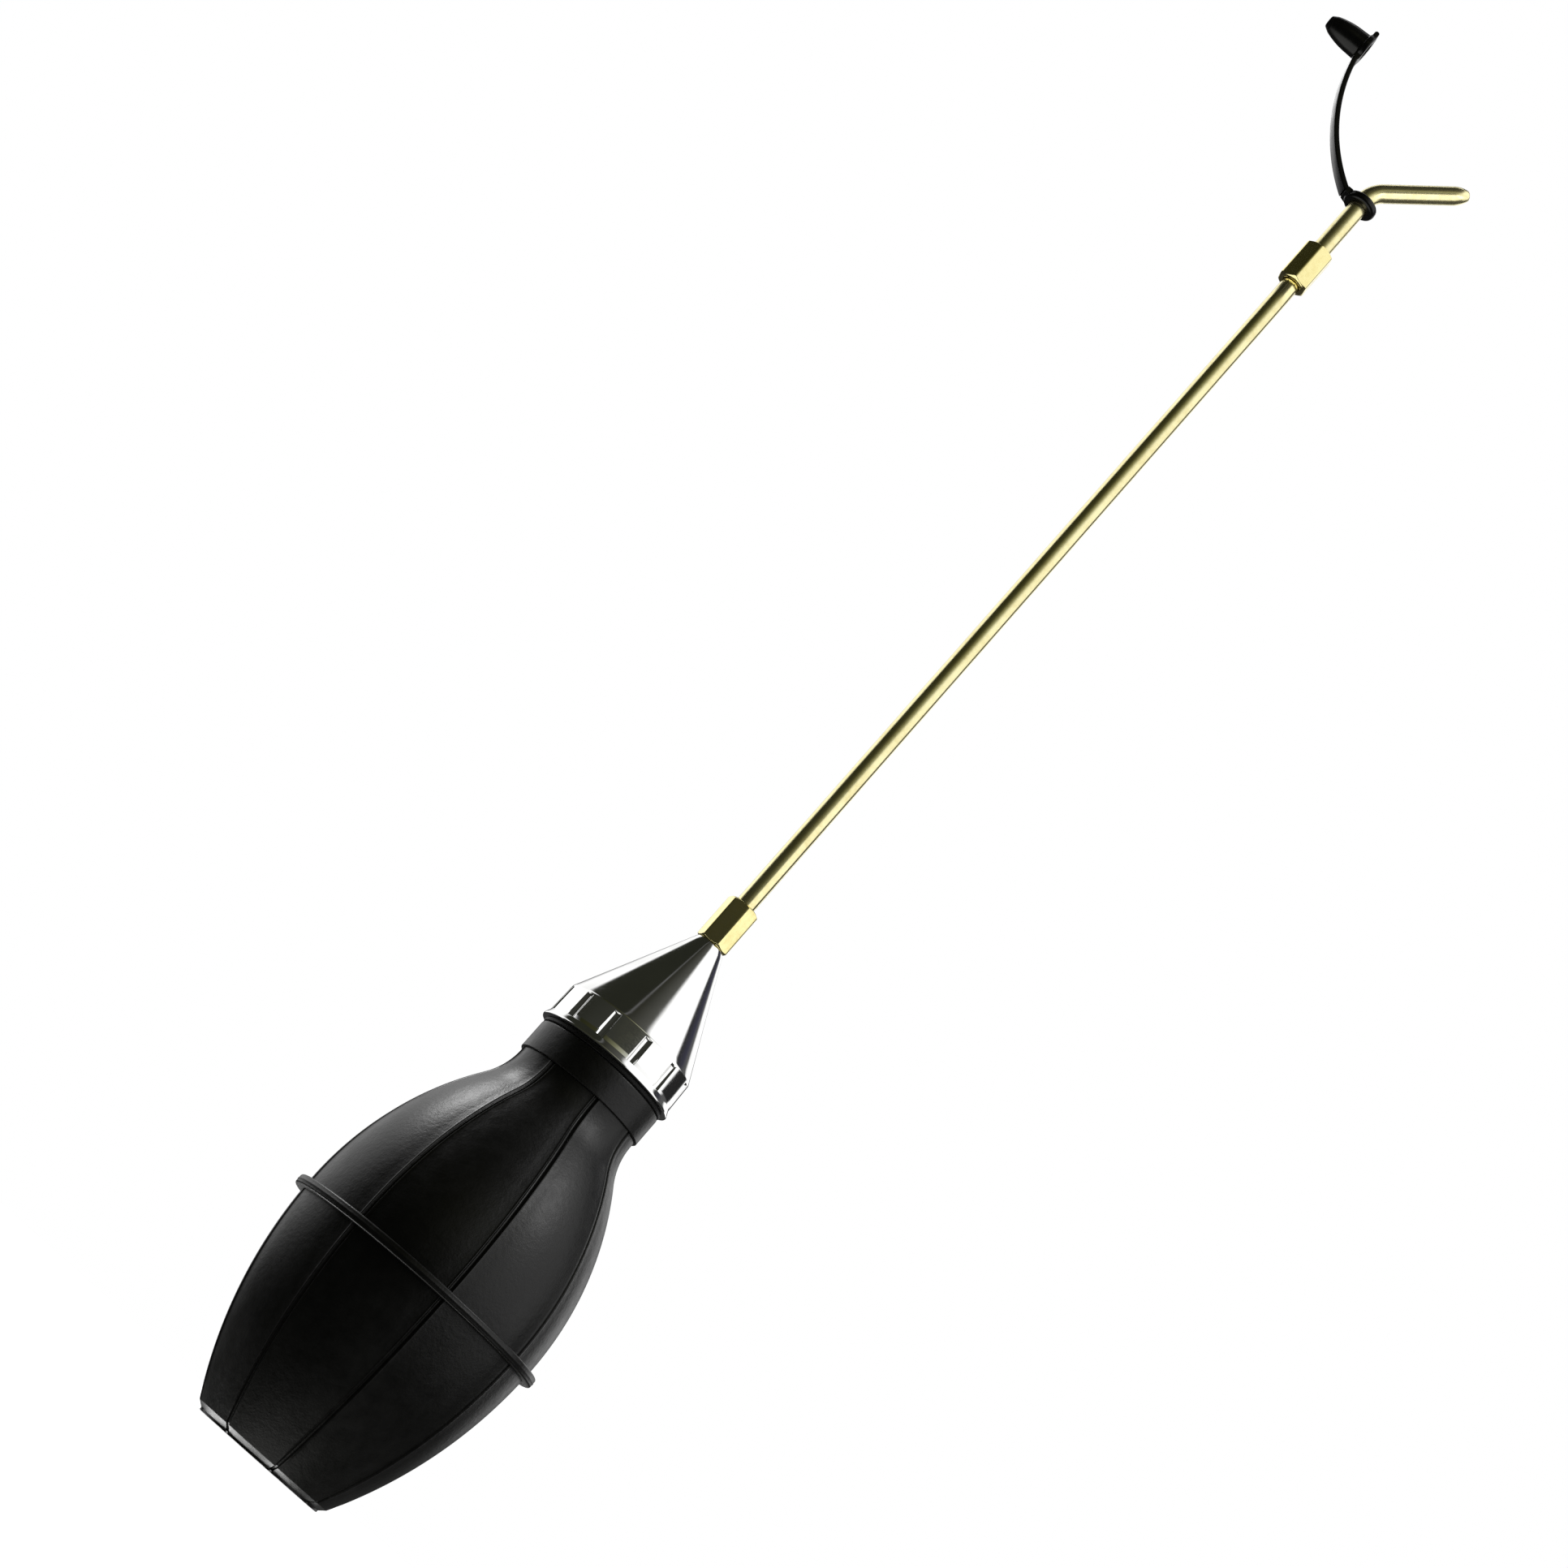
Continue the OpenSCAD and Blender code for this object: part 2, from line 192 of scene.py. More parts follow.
def fuse(name, parts):
    """Joins closed parts into one soft moulded skin with small fillets where they meet."""
    bpy.context.view_layer.update()
    bm = bmesh.new()
    for part in parts:
        bm.from_mesh(part.data)
    mesh = bpy.data.meshes.new(name)
    bm.to_mesh(mesh)
    bm.free()
    for part in parts:
        bpy.data.objects.remove(part)
    rough = bpy.data.objects.new(name + "_rough", mesh)
    bpy.context.scene.collection.objects.link(rough)
    remesh = rough.modifiers.new("join", "REMESH")
    remesh.mode = "VOXEL"
    remesh.voxel_size = FUSE_VOXEL * MM
    smooth = rough.modifiers.new("soften", "SMOOTH")
    smooth.factor = 0.5
    smooth.iterations = FUSE_ROUNDS
    bpy.context.view_layer.update()
    graph = bpy.context.evaluated_depsgraph_get()
    skin = bpy.data.meshes.new_from_object(rough.evaluated_get(graph))
    bpy.data.objects.remove(rough)
    for f in skin.polygons:
        f.use_smooth = True
    made = bpy.data.objects.new(name, skin)
    skin.name = name
    bpy.context.scene.collection.objects.link(made)
    return made


# ---------------------------------------------------------------- materials

def node(tree, kind, inputs=None, out=0, **settings):
    """Adds a shader node, sets it up, and returns one of its outputs."""
    made = tree.nodes.new(kind)
    for key, value in settings.items():
        setattr(made, key, value)
    for key, value in (inputs or {}).items():
        if isinstance(value, bpy.types.NodeSocket):
            tree.links.new(value, made.inputs[key])
        else:
            made.inputs[key].default_value = value
    return made.outputs[out] if len(made.outputs) else None


def new_material(name):
    """An empty node material and its tree."""
    material = bpy.data.materials.new(name)
    material.use_nodes = True
    tree = material.node_tree
    tree.nodes.clear()
    return material, tree


def place(tree):
    """Coordinates in the row frame, in metres."""
    return node(tree, "ShaderNodeTexCoord", out="Object")


def stretched(tree, scale):
    """The same coordinates, stretched by scale on each axis."""
    return node(tree, "ShaderNodeMapping", {"Vector": place(tree), "Scale": scale})


def noise(tree, where, size_mm, detail=2.0, rough=0.5):
    """Noise whose blobs are about size_mm across."""
    inputs = {"Vector": where, "Scale": 1 / (size_mm * MM), "Detail": detail, "Roughness": rough}
    return node(tree, "ShaderNodeTexNoise", inputs, out="Fac")


def ramp(tree, factor, stops):
    """A colour ramp from (position, colour) stops."""
    made = tree.nodes.new("ShaderNodeValToRGB")
    elements = made.color_ramp.elements
    while len(elements) < len(stops):
        elements.new(0.5)
    for element, (position, colour) in zip(elements, stops):
        element.position = position
        element.color = (*colour, 1)
    tree.links.new(factor, made.inputs["Fac"])
    return made.outputs["Color"]


def math_node(tree, operation, a, b):
    """One step of arithmetic between two sockets or numbers."""
    return node(tree, "ShaderNodeMath", {0: a, 1: b}, operation=operation)


def map_range(tree, value, low_in, high_in, low_out, high_out):
    """Carries a value from one range to another and holds it inside the second."""
    inputs = {"Value": value, "From Min": low_in, "From Max": high_in}
    inputs.update({"To Min": low_out, "To Max": high_out})
    return node(tree, "ShaderNodeMapRange", inputs)


def mix_colour(tree, factor, a, b):
    """Colour a where the factor is 0 and colour b where it is 1."""
    made = tree.nodes.new("ShaderNodeMix")
    made.data_type = "RGBA"
    for socket, value in ((made.inputs[0], factor), (made.inputs[6], a), (made.inputs[7], b)):
        if isinstance(value, bpy.types.NodeSocket):
            tree.links.new(value, socket)
        elif socket is made.inputs[0]:
            socket.default_value = value
        else:
            socket.default_value = (*value, 1)
    return made.outputs[2]


def bumped(tree, height, depth_mm, normal=None):
    """A bump of the given depth."""
    inputs = {"Height": height, "Strength": 1.0, "Distance": depth_mm * MM}
    if normal is not None:
        inputs["Normal"] = normal
    return node(tree, "ShaderNodeBump", inputs)


def shader(material, tree, **inputs):
    """A Principled shader as the material's surface."""
    surface = node(tree, "ShaderNodeBsdfPrincipled", {k.replace("_", " "): v for k, v in inputs.items()})
    node(tree, "ShaderNodeOutputMaterial", {"Surface": surface})
    return material


def rubber(name, dark, light, rough, mottle_mm, mottle_depth, grain_depth):
    """Moulded black rubber: a mottled, faintly pebbled skin with dusty patches."""
    material, tree = new_material(name)
    where = place(tree)
    patches = noise(tree, where, size_mm=26, detail=3.0)
    dust = noise(tree, where, size_mm=3.5, detail=6.0, rough=0.65)
    speck = noise(tree, where, size_mm=0.5)
    tone = math_node(tree, "MULTIPLY", patches, dust)
    colour = ramp(tree, tone, [(0.12, dark), (0.42, light)])
    colour = mix_colour(tree, map_range(tree, speck, 0.62, 0.8, 0, 0.35), colour, light)
    wear = math_node(tree, "ADD", patches, dust)
    roughness = map_range(tree, wear, 0.7, 1.3, rough - 0.05, rough + 0.07)
    mottle = noise(tree, where, mottle_mm, detail=3.0, rough=0.55)
    grain = noise(tree, where, size_mm=0.6)
    normal = bumped(tree, mottle, mottle_depth)
    normal = bumped(tree, grain, grain_depth, normal)
    looks = {"Base_Color": colour, "Roughness": roughness, "Normal": normal, "Specular_IOR_Level": 0.3}
    return shader(material, tree, **looks)


def brass(name, bright, tarnish, rough, along, depth):
    """Drawn or turned brass: fine marks along or round the bar, and faint tarnish."""
    material, tree = new_material(name)
    marks = noise(tree, stretched(tree, along), size_mm=0.35, detail=3.0, rough=0.6)
    clouds = noise(tree, place(tree), size_mm=9, detail=4.0, rough=0.6)
    stains = noise(tree, place(tree), size_mm=1.6, detail=5.0, rough=0.7)
    tone = math_node(tree, "MULTIPLY", clouds, stains)
    colour = ramp(tree, tone, [(0.18, bright), (0.42, tarnish)])
    wear = math_node(tree, "ADD", marks, stains)
    roughness = map_range(tree, wear, 0.6, 1.4, rough - 0.05, rough + 0.09)
    normal = bumped(tree, marks, depth)
    return shader(material, tree, Base_Color=colour, Metallic=1.0, Roughness=roughness, Normal=normal)


def chrome(name, colour_a, colour_b, rough):
    """Bright plating with hairline swirls and finger smudges."""
    material, tree = new_material(name)
    hair = noise(tree, stretched(tree, (1, 1, 9)), size_mm=1.1, detail=5.0, rough=0.7)
    smudge = noise(tree, place(tree), size_mm=12, detail=5.0, rough=0.6)
    colour = ramp(tree, smudge, [(0.35, colour_a), (0.7, colour_b)])
    wear = math_node(tree, "MULTIPLY", hair, smudge)
    roughness = map_range(tree, wear, 0.12, 0.42, rough - 0.03, rough + 0.07)
    wave = noise(tree, place(tree), size_mm=7)
    normal = bumped(tree, wave, 0.004)
    normal = bumped(tree, hair, 0.0006, normal)
    return shader(material, tree, Base_Color=colour, Metallic=1.0, Roughness=roughness, Normal=normal)


RUBBER_DARK = (0.002, 0.002, 0.002)
RUBBER_LIGHT = (0.006, 0.006, 0.006)
BULB_RUBBER = rubber("bulb_rubber", (0.0022, 0.0022, 0.0018), (0.0055, 0.0055, 0.005), rough=0.36,
                     mottle_mm=1.5, mottle_depth=0.07, grain_depth=0.03)
SEAL_RUBBER = rubber("seal_rubber", RUBBER_DARK, RUBBER_LIGHT, rough=0.5,
                     mottle_mm=1.2, mottle_depth=0.01, grain_depth=0.002)
TETHER_RUBBER = rubber("tether_rubber", RUBBER_DARK, RUBBER_LIGHT, rough=0.27,
                       mottle_mm=1.4, mottle_depth=0.008, grain_depth=0.003)
INSERT_METAL = chrome("insert_metal", (0.42, 0.42, 0.43), (0.3, 0.3, 0.31), rough=0.3)
CAP_CHROME = chrome("cap_chrome", (0.9, 0.9, 0.89), (0.8, 0.8, 0.79), rough=0.07)
BRASS_BRIGHT = (0.93, 0.86, 0.5)
BRASS_TARNISH = (0.8, 0.71, 0.36)
BRASS_TUBE = brass("brass_drawn", BRASS_BRIGHT, BRASS_TARNISH, rough=0.17, along=(1, 1, 0.08), depth=0.0012)
BRASS_NOZZLE = brass("brass_bent", BRASS_BRIGHT, BRASS_TARNISH, rough=0.24,
                     along=(0.6, 0.6, 0.3), depth=0.002)
BRASS_HEX = brass("brass_turned", (0.93, 0.84, 0.42), (0.8, 0.69, 0.3), rough=0.13,
                  along=(0.3, 0.3, 3), depth=0.0006)


def paint(obj, material, body=None):
    """Gives a piece its material, and lets it ride on a body."""
    obj.data.materials.clear()
    obj.data.materials.append(material)
    if body:
        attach(obj, body)


# ---------------------------------------------------------------- bulb

BULB_R = 42.2
WIDEST_Z = 70
LOWER_SWEEP = 30
BASE_FILLET = 5
# The base's edge: a bevel from a crease in the wall down to a small foot, pinched a little at each seam
EDGE_Z = 2.2
FOOT_Z = 0.7
FOOT_IN = 1.9
FOOT_EASE = 0.08
LEDGE_W = 0.25
LEDGE_H = 0.2
PINCH = 0.5
BASE_DISC = 6
NECK_Z = 136.5
NECK_R = 21.6
NECK_CURVE = 22
WALL = 3
FLOOR_T = 4
COLLAR_Z = 137.5
COLLAR_R = 22.4
COLLAR_ROUND = 0.8
COLLAR_FOOT = 0.25
COLLAR_TOP = high("bulb_upper_shell").z
RING_R = high("bulb_lower_shell").y
RING_Z = high("bulb_lower_shell").z
RING_T = 3
RING_EDGE = 0.6
RING_ROOT = 0.3
# The mould's parting line, a fine ridge round the ring
PARTING_H = 0.1
PARTING_FOOT = 0.3
PARTING_TOP = 0.12
BOND_GAP = 0.02
POCKET_R = 20.62
POCKET_H = 1.2
SEAMS = 8
SEAM_PITCH = 360 / SEAMS
SEAM_TURN = -75
SEAM_D = 0.6

SWEEP_SINE = math.sin(math.radians(LOWER_SWEEP))
LOWER_R = (WIDEST_Z - BASE_FILLET * (1 - SWEEP_SINE)) / SWEEP_SINE
NECK_DROP = BULB_R - NECK_R
NECK_RISE = NECK_Z - WIDEST_Z
ARC_SUM = (NECK_DROP ** 2 + NECK_RISE ** 2) / (2 * NECK_DROP)
UPPER_R = ARC_SUM - NECK_CURVE
UPPER_SWEEP = math.degrees(math.asin(NECK_RISE / ARC_SUM))
LOWER_C = (BULB_R - LOWER_R, WIDEST_Z)
UPPER_C = (BULB_R - UPPER_R, WIDEST_Z)
NECK_C = (NECK_R + NECK_CURVE, NECK_Z)


def side_angle(z):
    """The angle on the bulb's lower or upper arc at a height."""
    radius = LOWER_R if z < WIDEST_Z else UPPER_R
    return math.degrees(math.asin((z - WIDEST_Z) / radius))


def base_segments():
    """The flat base and its edge, from the middle outwards, with the floor inside."""
    inner_r = LOWER_R - WALL
    floor_a = -math.degrees(math.asin((WIDEST_Z - FLOOR_T) / inner_r))
    corner = arc_point(LOWER_C, inner_r, floor_a)
    crease = arc_point(LOWER_C, LOWER_R, side_angle(EDGE_Z))
    foot = (crease[0] - FOOT_IN, FOOT_Z)
    ledge = (foot[0] + LEDGE_W, FOOT_Z + LEDGE_H)
    flat = line((BASE_DISC + 0.5, 0), (foot[0] - 0.5, 0), 9)
    bevel = [(foot[0], FOOT_EASE), foot] + line(ledge, crease, 8)
    return [
        (line((0, 0), (BASE_DISC, 0), 3), line((0, FLOOR_T), (BASE_DISC, FLOOR_T), 3), 0),
        (flat, line((BASE_DISC + 0.5, FLOOR_T), corner, 9), 1),
        (bevel, arc(LOWER_C, inner_r, floor_a + 0.2, -LOWER_SWEEP + 3, 10), 1),
    ]


def side_segments():
    """The wall from the base's edge up to the neck, with the ring round it."""
    ring_low, ring_high = RING_Z - RING_T / 2, RING_Z + RING_T / 2
    low_a, high_a = side_angle(ring_low), side_angle(ring_high)
    crease_a = side_angle(EDGE_Z)
    inner_r = LOWER_R - WALL
    wall = arc(LOWER_C, LOWER_R, crease_a + 0.04, crease_a + 0.25, 1)
    wall += arc(LOWER_C, LOWER_R, -LOWER_SWEEP + 0.6, low_a, 34)
    bead = [(arc_point(LOWER_C, LOWER_R, low_a)[0] + RING_ROOT, ring_low)]
    bead += arc((RING_R - RING_EDGE, ring_low + RING_EDGE), RING_EDGE, -90, 0, 4)
    bead += [(RING_R, RING_Z - PARTING_FOOT), (RING_R + PARTING_H, RING_Z - PARTING_TOP)]
    bead += [(RING_R + PARTING_H, RING_Z + PARTING_TOP), (RING_R, RING_Z + PARTING_FOOT)]
    bead += arc((RING_R - RING_EDGE, ring_high - RING_EDGE), RING_EDGE, 0, 90, 4)
    bead += [(arc_point(LOWER_C, LOWER_R, high_a)[0] + RING_ROOT, ring_high)]
    return [
        (wall, arc(LOWER_C, inner_r, -LOWER_SWEEP + 3.3, low_a, 36), 1),
        (bead, arc(LOWER_C, inner_r, low_a + 0.05, high_a - 0.05, 15), 0),
        (arc(LOWER_C, LOWER_R, high_a, -0.3, 2), arc(LOWER_C, inner_r, high_a, -0.3, 2), 1),
        (arc(UPPER_C, UPPER_R, 0.3, UPPER_SWEEP, 36), arc(UPPER_C, UPPER_R - WALL, 0.3, UPPER_SWEEP, 36), 1),
    ]


def neck_segments():
    """The neck's hollow curve and the collar, up to the rim of the insert's pocket."""
    neck_start = 180 + UPPER_SWEEP - 1.5
    bore_r = NECK_R - WALL
    pocket_z = COLLAR_TOP - POCKET_H
    neck_out = arc(NECK_C, NECK_CURVE, neck_start, 180, 14) + [(NECK_R, COLLAR_Z)]
    neck_in = arc(NECK_C, NECK_CURVE + WALL, neck_start, 180, 14) + [(bore_r, COLLAR_Z)]
    collar = [(COLLAR_R - COLLAR_FOOT, COLLAR_Z), (COLLAR_R, COLLAR_Z + COLLAR_FOOT)]
    collar += line((COLLAR_R, COLLAR_Z + 2), (COLLAR_R, COLLAR_TOP - COLLAR_ROUND - 1.5), 3)
    collar += arc((COLLAR_R - COLLAR_ROUND, COLLAR_TOP - COLLAR_ROUND), COLLAR_ROUND, 0, 90, 6)
    collar += [(POCKET_R + 0.2, COLLAR_TOP), (POCKET_R, COLLAR_TOP)]
    pocket = line((bore_r, COLLAR_Z + 0.3), (bore_r, pocket_z), 9)
    pocket += line((bore_r + 0.5, pocket_z), (POCKET_R, pocket_z), 3) + [(POCKET_R, COLLAR_TOP)]
    return [(neck_out, neck_in, 1), (collar, pocket, 0)]


def bulb_rows():
    """Rows from the base's centre to the collar's pocket.

    Each row has an outer point, its normal, the inner point behind it, and how far the seams cut it.
    """
    rows = []
    for outer, inner, groove in base_segments() + side_segments() + neck_segments():
        inner = inner if len(inner) == len(outer) else resample(inner, len(outer))
        for i, (point, inside) in enumerate(zip(outer, inner)):
            a, b = outer[max(i - 1, 0)], outer[min(i + 1, len(outer) - 1)]
            length = math.dist(a, b)
            normal = ((b[1] - a[1]) / length, -(b[0] - a[0]) / length)
            rows.append((point, normal, inside, groove))
    return rows


GROOVE_STEPS = (0.2, 0.36, 0.5, 0.64, 0.78, 0.94, 1.15, 1.5)
GROOVE_FLAT = 0.25
GROOVE_EDGE = 0.7
LIP_AT = 0.95
LIP_W = 0.18
LIP_H = 0.2
LIP_FOOT_Z = 3
LIP_FULL_Z = 8
BETWEEN = 10


def groove_depth(offset, z):
    """How deep the seam groove is at a distance from its middle.

    Its two lips stand a little proud, except close to the base.
    """
    cut = 1 - smoothstep(GROOVE_FLAT, GROOVE_EDGE, abs(offset))
    lip = math.exp(-((abs(offset) - LIP_AT) / LIP_W) ** 2) * smoothstep(LIP_FOOT_Z, LIP_FULL_Z, z)
    return SEAM_D * cut - LIP_H * lip


def seam_columns(first, last):
    """Columns from one seam to another, as (seam's azimuth, offset from it, share of the way to the next)."""
    columns = []
    for k in range(first, last + 1):
        azimuth = SEAM_TURN + k * SEAM_PITCH
        if k > first:
            columns += [(azimuth, -s, None) for s in reversed(GROOVE_STEPS)]
        columns.append((azimuth, 0.0, None))
        if k < last:
            columns += [(azimuth, s, None) for s in GROOVE_STEPS]
            columns += [(azimuth, 0.0, (j + 1) / (BETWEEN + 1)) for j in range(BETWEEN)]
    return columns


def bulb_half(name, first, last):
    """Half of the hollow bulb between two opposite seams, as one closed shell."""
    rows = bulb_rows()
    columns = seam_columns(first, last)
    outer, inner = [], []
    for (r, z), (nr, nz), (ri, zi), groove in rows:
        reach = max(r, BASE_DISC)
        edge = math.degrees(math.asin(GROOVE_STEPS[-1] / reach))
        out_row, in_row = [], []
        for azimuth, offset, share in columns:
            if share is None:
                a = azimuth + math.degrees(math.asin(offset / reach))
                depth = groove_depth(offset, z) * groove
                seam_share = 1.0
            else:
                a = azimuth + edge + (SEAM_PITCH - 2 * edge) * share
                depth = 0.0
                seam_share = abs(2 * share - 1)
            if 0 < z < EDGE_Z:
                depth += PINCH * seam_share ** 4 * (1 - z / EDGE_Z)
            c, s = math.cos(math.radians(a)), math.sin(math.radians(a))
            ro, zo = r - nr * depth, z - nz * depth
            out_row.append((ro * c, ro * s, zo))
            in_row.append((ri * c, ri * s, zi))
        outer.append(out_row)
        inner.append(in_row)
    count = len(columns)
    points = [p for row in outer + inner for p in row]
    faces = grid_faces(len(outer), count, False, False)
    faces += grid_faces(len(inner), count, False, False, len(outer) * count)
    shift = len(outer) * count
    for i in range(len(outer) - 1):
        for j in (0, count - 1):
            a, b = i * count + j, (i + 1) * count + j
            faces.append((a, b, b + shift, a + shift))
    return finish_mesh(name, points, faces)


HALVES = (("bulb_skin_right", 0, 4, "squeeze_right", "squeeze_wall_right", 1),
          ("bulb_skin_left", 4, 8, "squeeze_left", "squeeze_wall_left", -1))
for name, first, last, body, wall_node, side in HALVES:
    skin = bulb_half(name, first, last)
    paint(skin, BULB_RUBBER)
    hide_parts("bulb_lower_shell", "bulb_upper_shell", wall_node)
    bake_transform(skin)


# ---------------------------------------------------------------- threads

def thread_shape(phase):
    """Height of a rounded thread over one pitch, from 0 at the root to 1 at the crest."""
    p = phase % 1.0
    return smoothstep(0.0, 0.3, p) * (1 - smoothstep(0.5, 0.8, p))


def threaded_rows(root, crest, pitch, z0, z1, columns, steps=12):
    """Rows of a helical thread that dies out at both ends."""
    count = max(2, round((z1 - z0) / pitch * steps))
    rows = []
    for i in range(count + 1):
        z = z0 + (z1 - z0) * i / count
        fade = smoothstep(z0, z0 + pitch * 0.6, z) * (1 - smoothstep(z1 - pitch * 0.6, z1, z))
        row = []
        for j in range(columns):
            t = j / columns
            r = root + (crest - root) * thread_shape((z - z0) / pitch - t) * fade
            a = 2 * math.pi * t
            row.append((r * math.cos(a), r * math.sin(a), z))
        rows.append(row)
    return rows


def ring_row(r, z, columns):
    """One round row of points."""
    return [(r * math.cos(2 * math.pi * j / columns), r * math.sin(2 * math.pi * j / columns), z)
            for j in range(columns)]


def turned(profile, columns):
    """Plain round rows for each (radius, height) point."""
    return [ring_row(r, z, columns) for r, z in profile]


COLUMNS = 96
CAP_PITCH = 3
THREAD_DEPTH = 0.7
SMALL_PITCH = 1
SMALL_STEPS = 9
SMALL_DEPTH = 0.3

# Neck insert: a bonded sleeve with a helical thread above the collar
INSERT_LOW = low("neck_insert").z
INSERT_TOP = high("neck_insert").z
INSERT_R = 18.5
INSERT_BORE = 16.5
INSERT_FLANGE_R = POCKET_R - BOND_GAP
INSERT_SOFT = 0.15
INSERT_CHAMFER = 0.3
root_r = INSERT_R - THREAD_DEPTH
sleeve_r = NECK_R - WALL - BOND_GAP
pocket_z = COLLAR_TOP - POCKET_H
insert_rows = turned([(INSERT_BORE, INSERT_LOW), (sleeve_r, INSERT_LOW), (sleeve_r, pocket_z),
                      (INSERT_FLANGE_R, pocket_z), (INSERT_FLANGE_R, COLLAR_TOP - INSERT_SOFT),
                      (INSERT_FLANGE_R - INSERT_SOFT, COLLAR_TOP), (root_r, COLLAR_TOP)], COLUMNS)
insert_rows += threaded_rows(root_r, INSERT_R, CAP_PITCH, COLLAR_TOP + 0.3, INSERT_TOP - 0.4, COLUMNS)
insert_rows += turned([(root_r, INSERT_TOP - INSERT_CHAMFER), (root_r - INSERT_CHAMFER, INSERT_TOP),
                       (INSERT_BORE + INSERT_CHAMFER, INSERT_TOP),
                       (INSERT_BORE, INSERT_TOP - INSERT_CHAMFER)], COLUMNS)
insert = grid_object("neck_insert_threaded", insert_rows)
paint(insert, INSERT_METAL, "bulb")
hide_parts("neck_insert")

# Gasket: a flat rubber ring with soft edges
GASKET_LOW = low("cap_gasket").z
GASKET_TOP = high("cap_gasket").z
GASKET_R = high("cap_gasket").x
GASKET_BORE = 18.57
GASKET_SOFT = 0.35
GASKET_COLUMNS = 128
soft_r = GASKET_R - GASKET_SOFT
gasket = lathe("cap_gasket_ring",
               [(GASKET_BORE, GASKET_LOW), (soft_r, GASKET_LOW)]
               + arc((soft_r, GASKET_LOW + GASKET_SOFT), GASKET_SOFT, -70, 0, 3)
               + arc((soft_r, GASKET_TOP - GASKET_SOFT), GASKET_SOFT, 0, 90, 3)
               + [(GASKET_BORE, GASKET_TOP)], GASKET_COLUMNS)
paint(gasket, SEAL_RUBBER, "cap_seal")
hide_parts("cap_gasket")


# ---------------------------------------------------------------- cone cap

RIM_Z = low("cone_cap").z
TIP_Z = high("cone_cap").z
RIM_R = high("cone_cap").x
RIM_SOFT = 0.4
BAND_H = 12
BAND_TOP = RIM_Z + BAND_H
BAND_R = 23.1
CONE_R = 22.8
TIP_R = 4.9
CAP_BORE = 18.57
FLARE_H = 2.4
GRIPS = 12
GRIP_PITCH = 360 / GRIPS
GRIP_TURN = -75
GRIP_R = 1.5
GRIP_D = 1
GRIP_END = 0.7
GRIP_FADE = 0.7
GRIP_SOFT = 0.1
GRIP_RUNOUT = 0.3
GRIP_CLEAR = 0.6
GRIP_ROWS_H = 7.2
GRIP_ROWS = 16
GRIP_STEPS = (0.4, 0.75, 1.0, 1.18, 1.32, 1.42, 1.55, 1.75, 2.2)
GRIP_BETWEEN = 7
CONE_ROWS = 24
BOSS_Z = TIP_Z - 10
CONE_WALL = 1.65
NIPPLE_R = 3.5
CONE_SLOPE = (CONE_R - TIP_R) / (TIP_Z - BAND_TOP)


def grip_depth(offset, r):
    """Depth of a finger groove with a round bottom, where the cap's own radius is r."""
    floor_r = BAND_R - GRIP_D + GRIP_R
    inside = GRIP_R ** 2 - offset ** 2
    if inside > 0:
        wall_r = floor_r - math.sqrt(inside)
    else:
        wall_r = floor_r + GRIP_RUNOUT * (abs(offset) - GRIP_R)
    raw = r - wall_r
    if raw <= -GRIP_CLEAR:
        return 0.0
    return 0.5 * (raw + math.sqrt(raw * raw + GRIP_SOFT * GRIP_SOFT))


def cap_profile():
    """The cap's closed outline as (radius, height, share of the full groove depth)."""
    boss_r = CONE_R - CONE_WALL - (BOSS_Z - BAND_TOP) * CONE_SLOPE
    bore_top = BAND_TOP + (CONE_R - CONE_WALL - CAP_BORE) / CONE_SLOPE
    rim = [(CAP_BORE, RIM_Z), (RIM_R - RIM_SOFT, RIM_Z)]
    rim += [(RIM_R - 0.08, RIM_Z + 0.12), (RIM_R, RIM_Z + RIM_SOFT)]
    rim += line((RIM_R - 0.1, RIM_Z + 0.7), (BAND_R + 0.12, RIM_Z + FLARE_H - 0.25), 4)
    rim += [(BAND_R + 0.02, RIM_Z + FLARE_H)]

    taper = (BAND_R - CONE_R) / (BAND_H - FLARE_H)
    fade_top = BAND_TOP - GRIP_END
    fade_foot = fade_top - GRIP_FADE
    cuts = [(RIM_Z + FLARE_H + 0.08, 1.0)]
    cuts += [(fade_foot - GRIP_ROWS_H * (1 - i / GRIP_ROWS), 1.0) for i in range(1, GRIP_ROWS + 1)]
    for degrees in range(15, 91, 15):
        a = math.radians(degrees)
        cuts.append((fade_top - GRIP_FADE * (1 - math.sin(a)), math.cos(a)))
    cuts += [(BAND_TOP - 0.3, 0.0), (BAND_TOP - 0.05, 0.0)]

    cone_l = TIP_Z - BAND_TOP - 1.9
    cone = [(CONE_R - 0.03, BAND_TOP + 0.03), (CONE_R - CONE_SLOPE * 0.2, BAND_TOP + 0.2)]
    for i in range(CONE_ROWS + 1):
        rise = 1.5 + cone_l * i / CONE_ROWS
        cone.append((CONE_R - CONE_SLOPE * rise, BAND_TOP + rise))
    cone += [(TIP_R + 0.05, TIP_Z - 0.2), (TIP_R - 0.15, TIP_Z)]
    bore_r = NIPPLE_R + BOND_GAP
    cone += [(bore_r, TIP_Z), (bore_r, BOSS_Z), (boss_r, BOSS_Z), (CAP_BORE, bore_top)]

    profile = [(r, z, 0) for r, z in rim]
    profile += [(CONE_R + taper * (BAND_TOP - z), z, cut) for z, cut in cuts]
    return profile + [(r, z, 0) for r, z in cone]


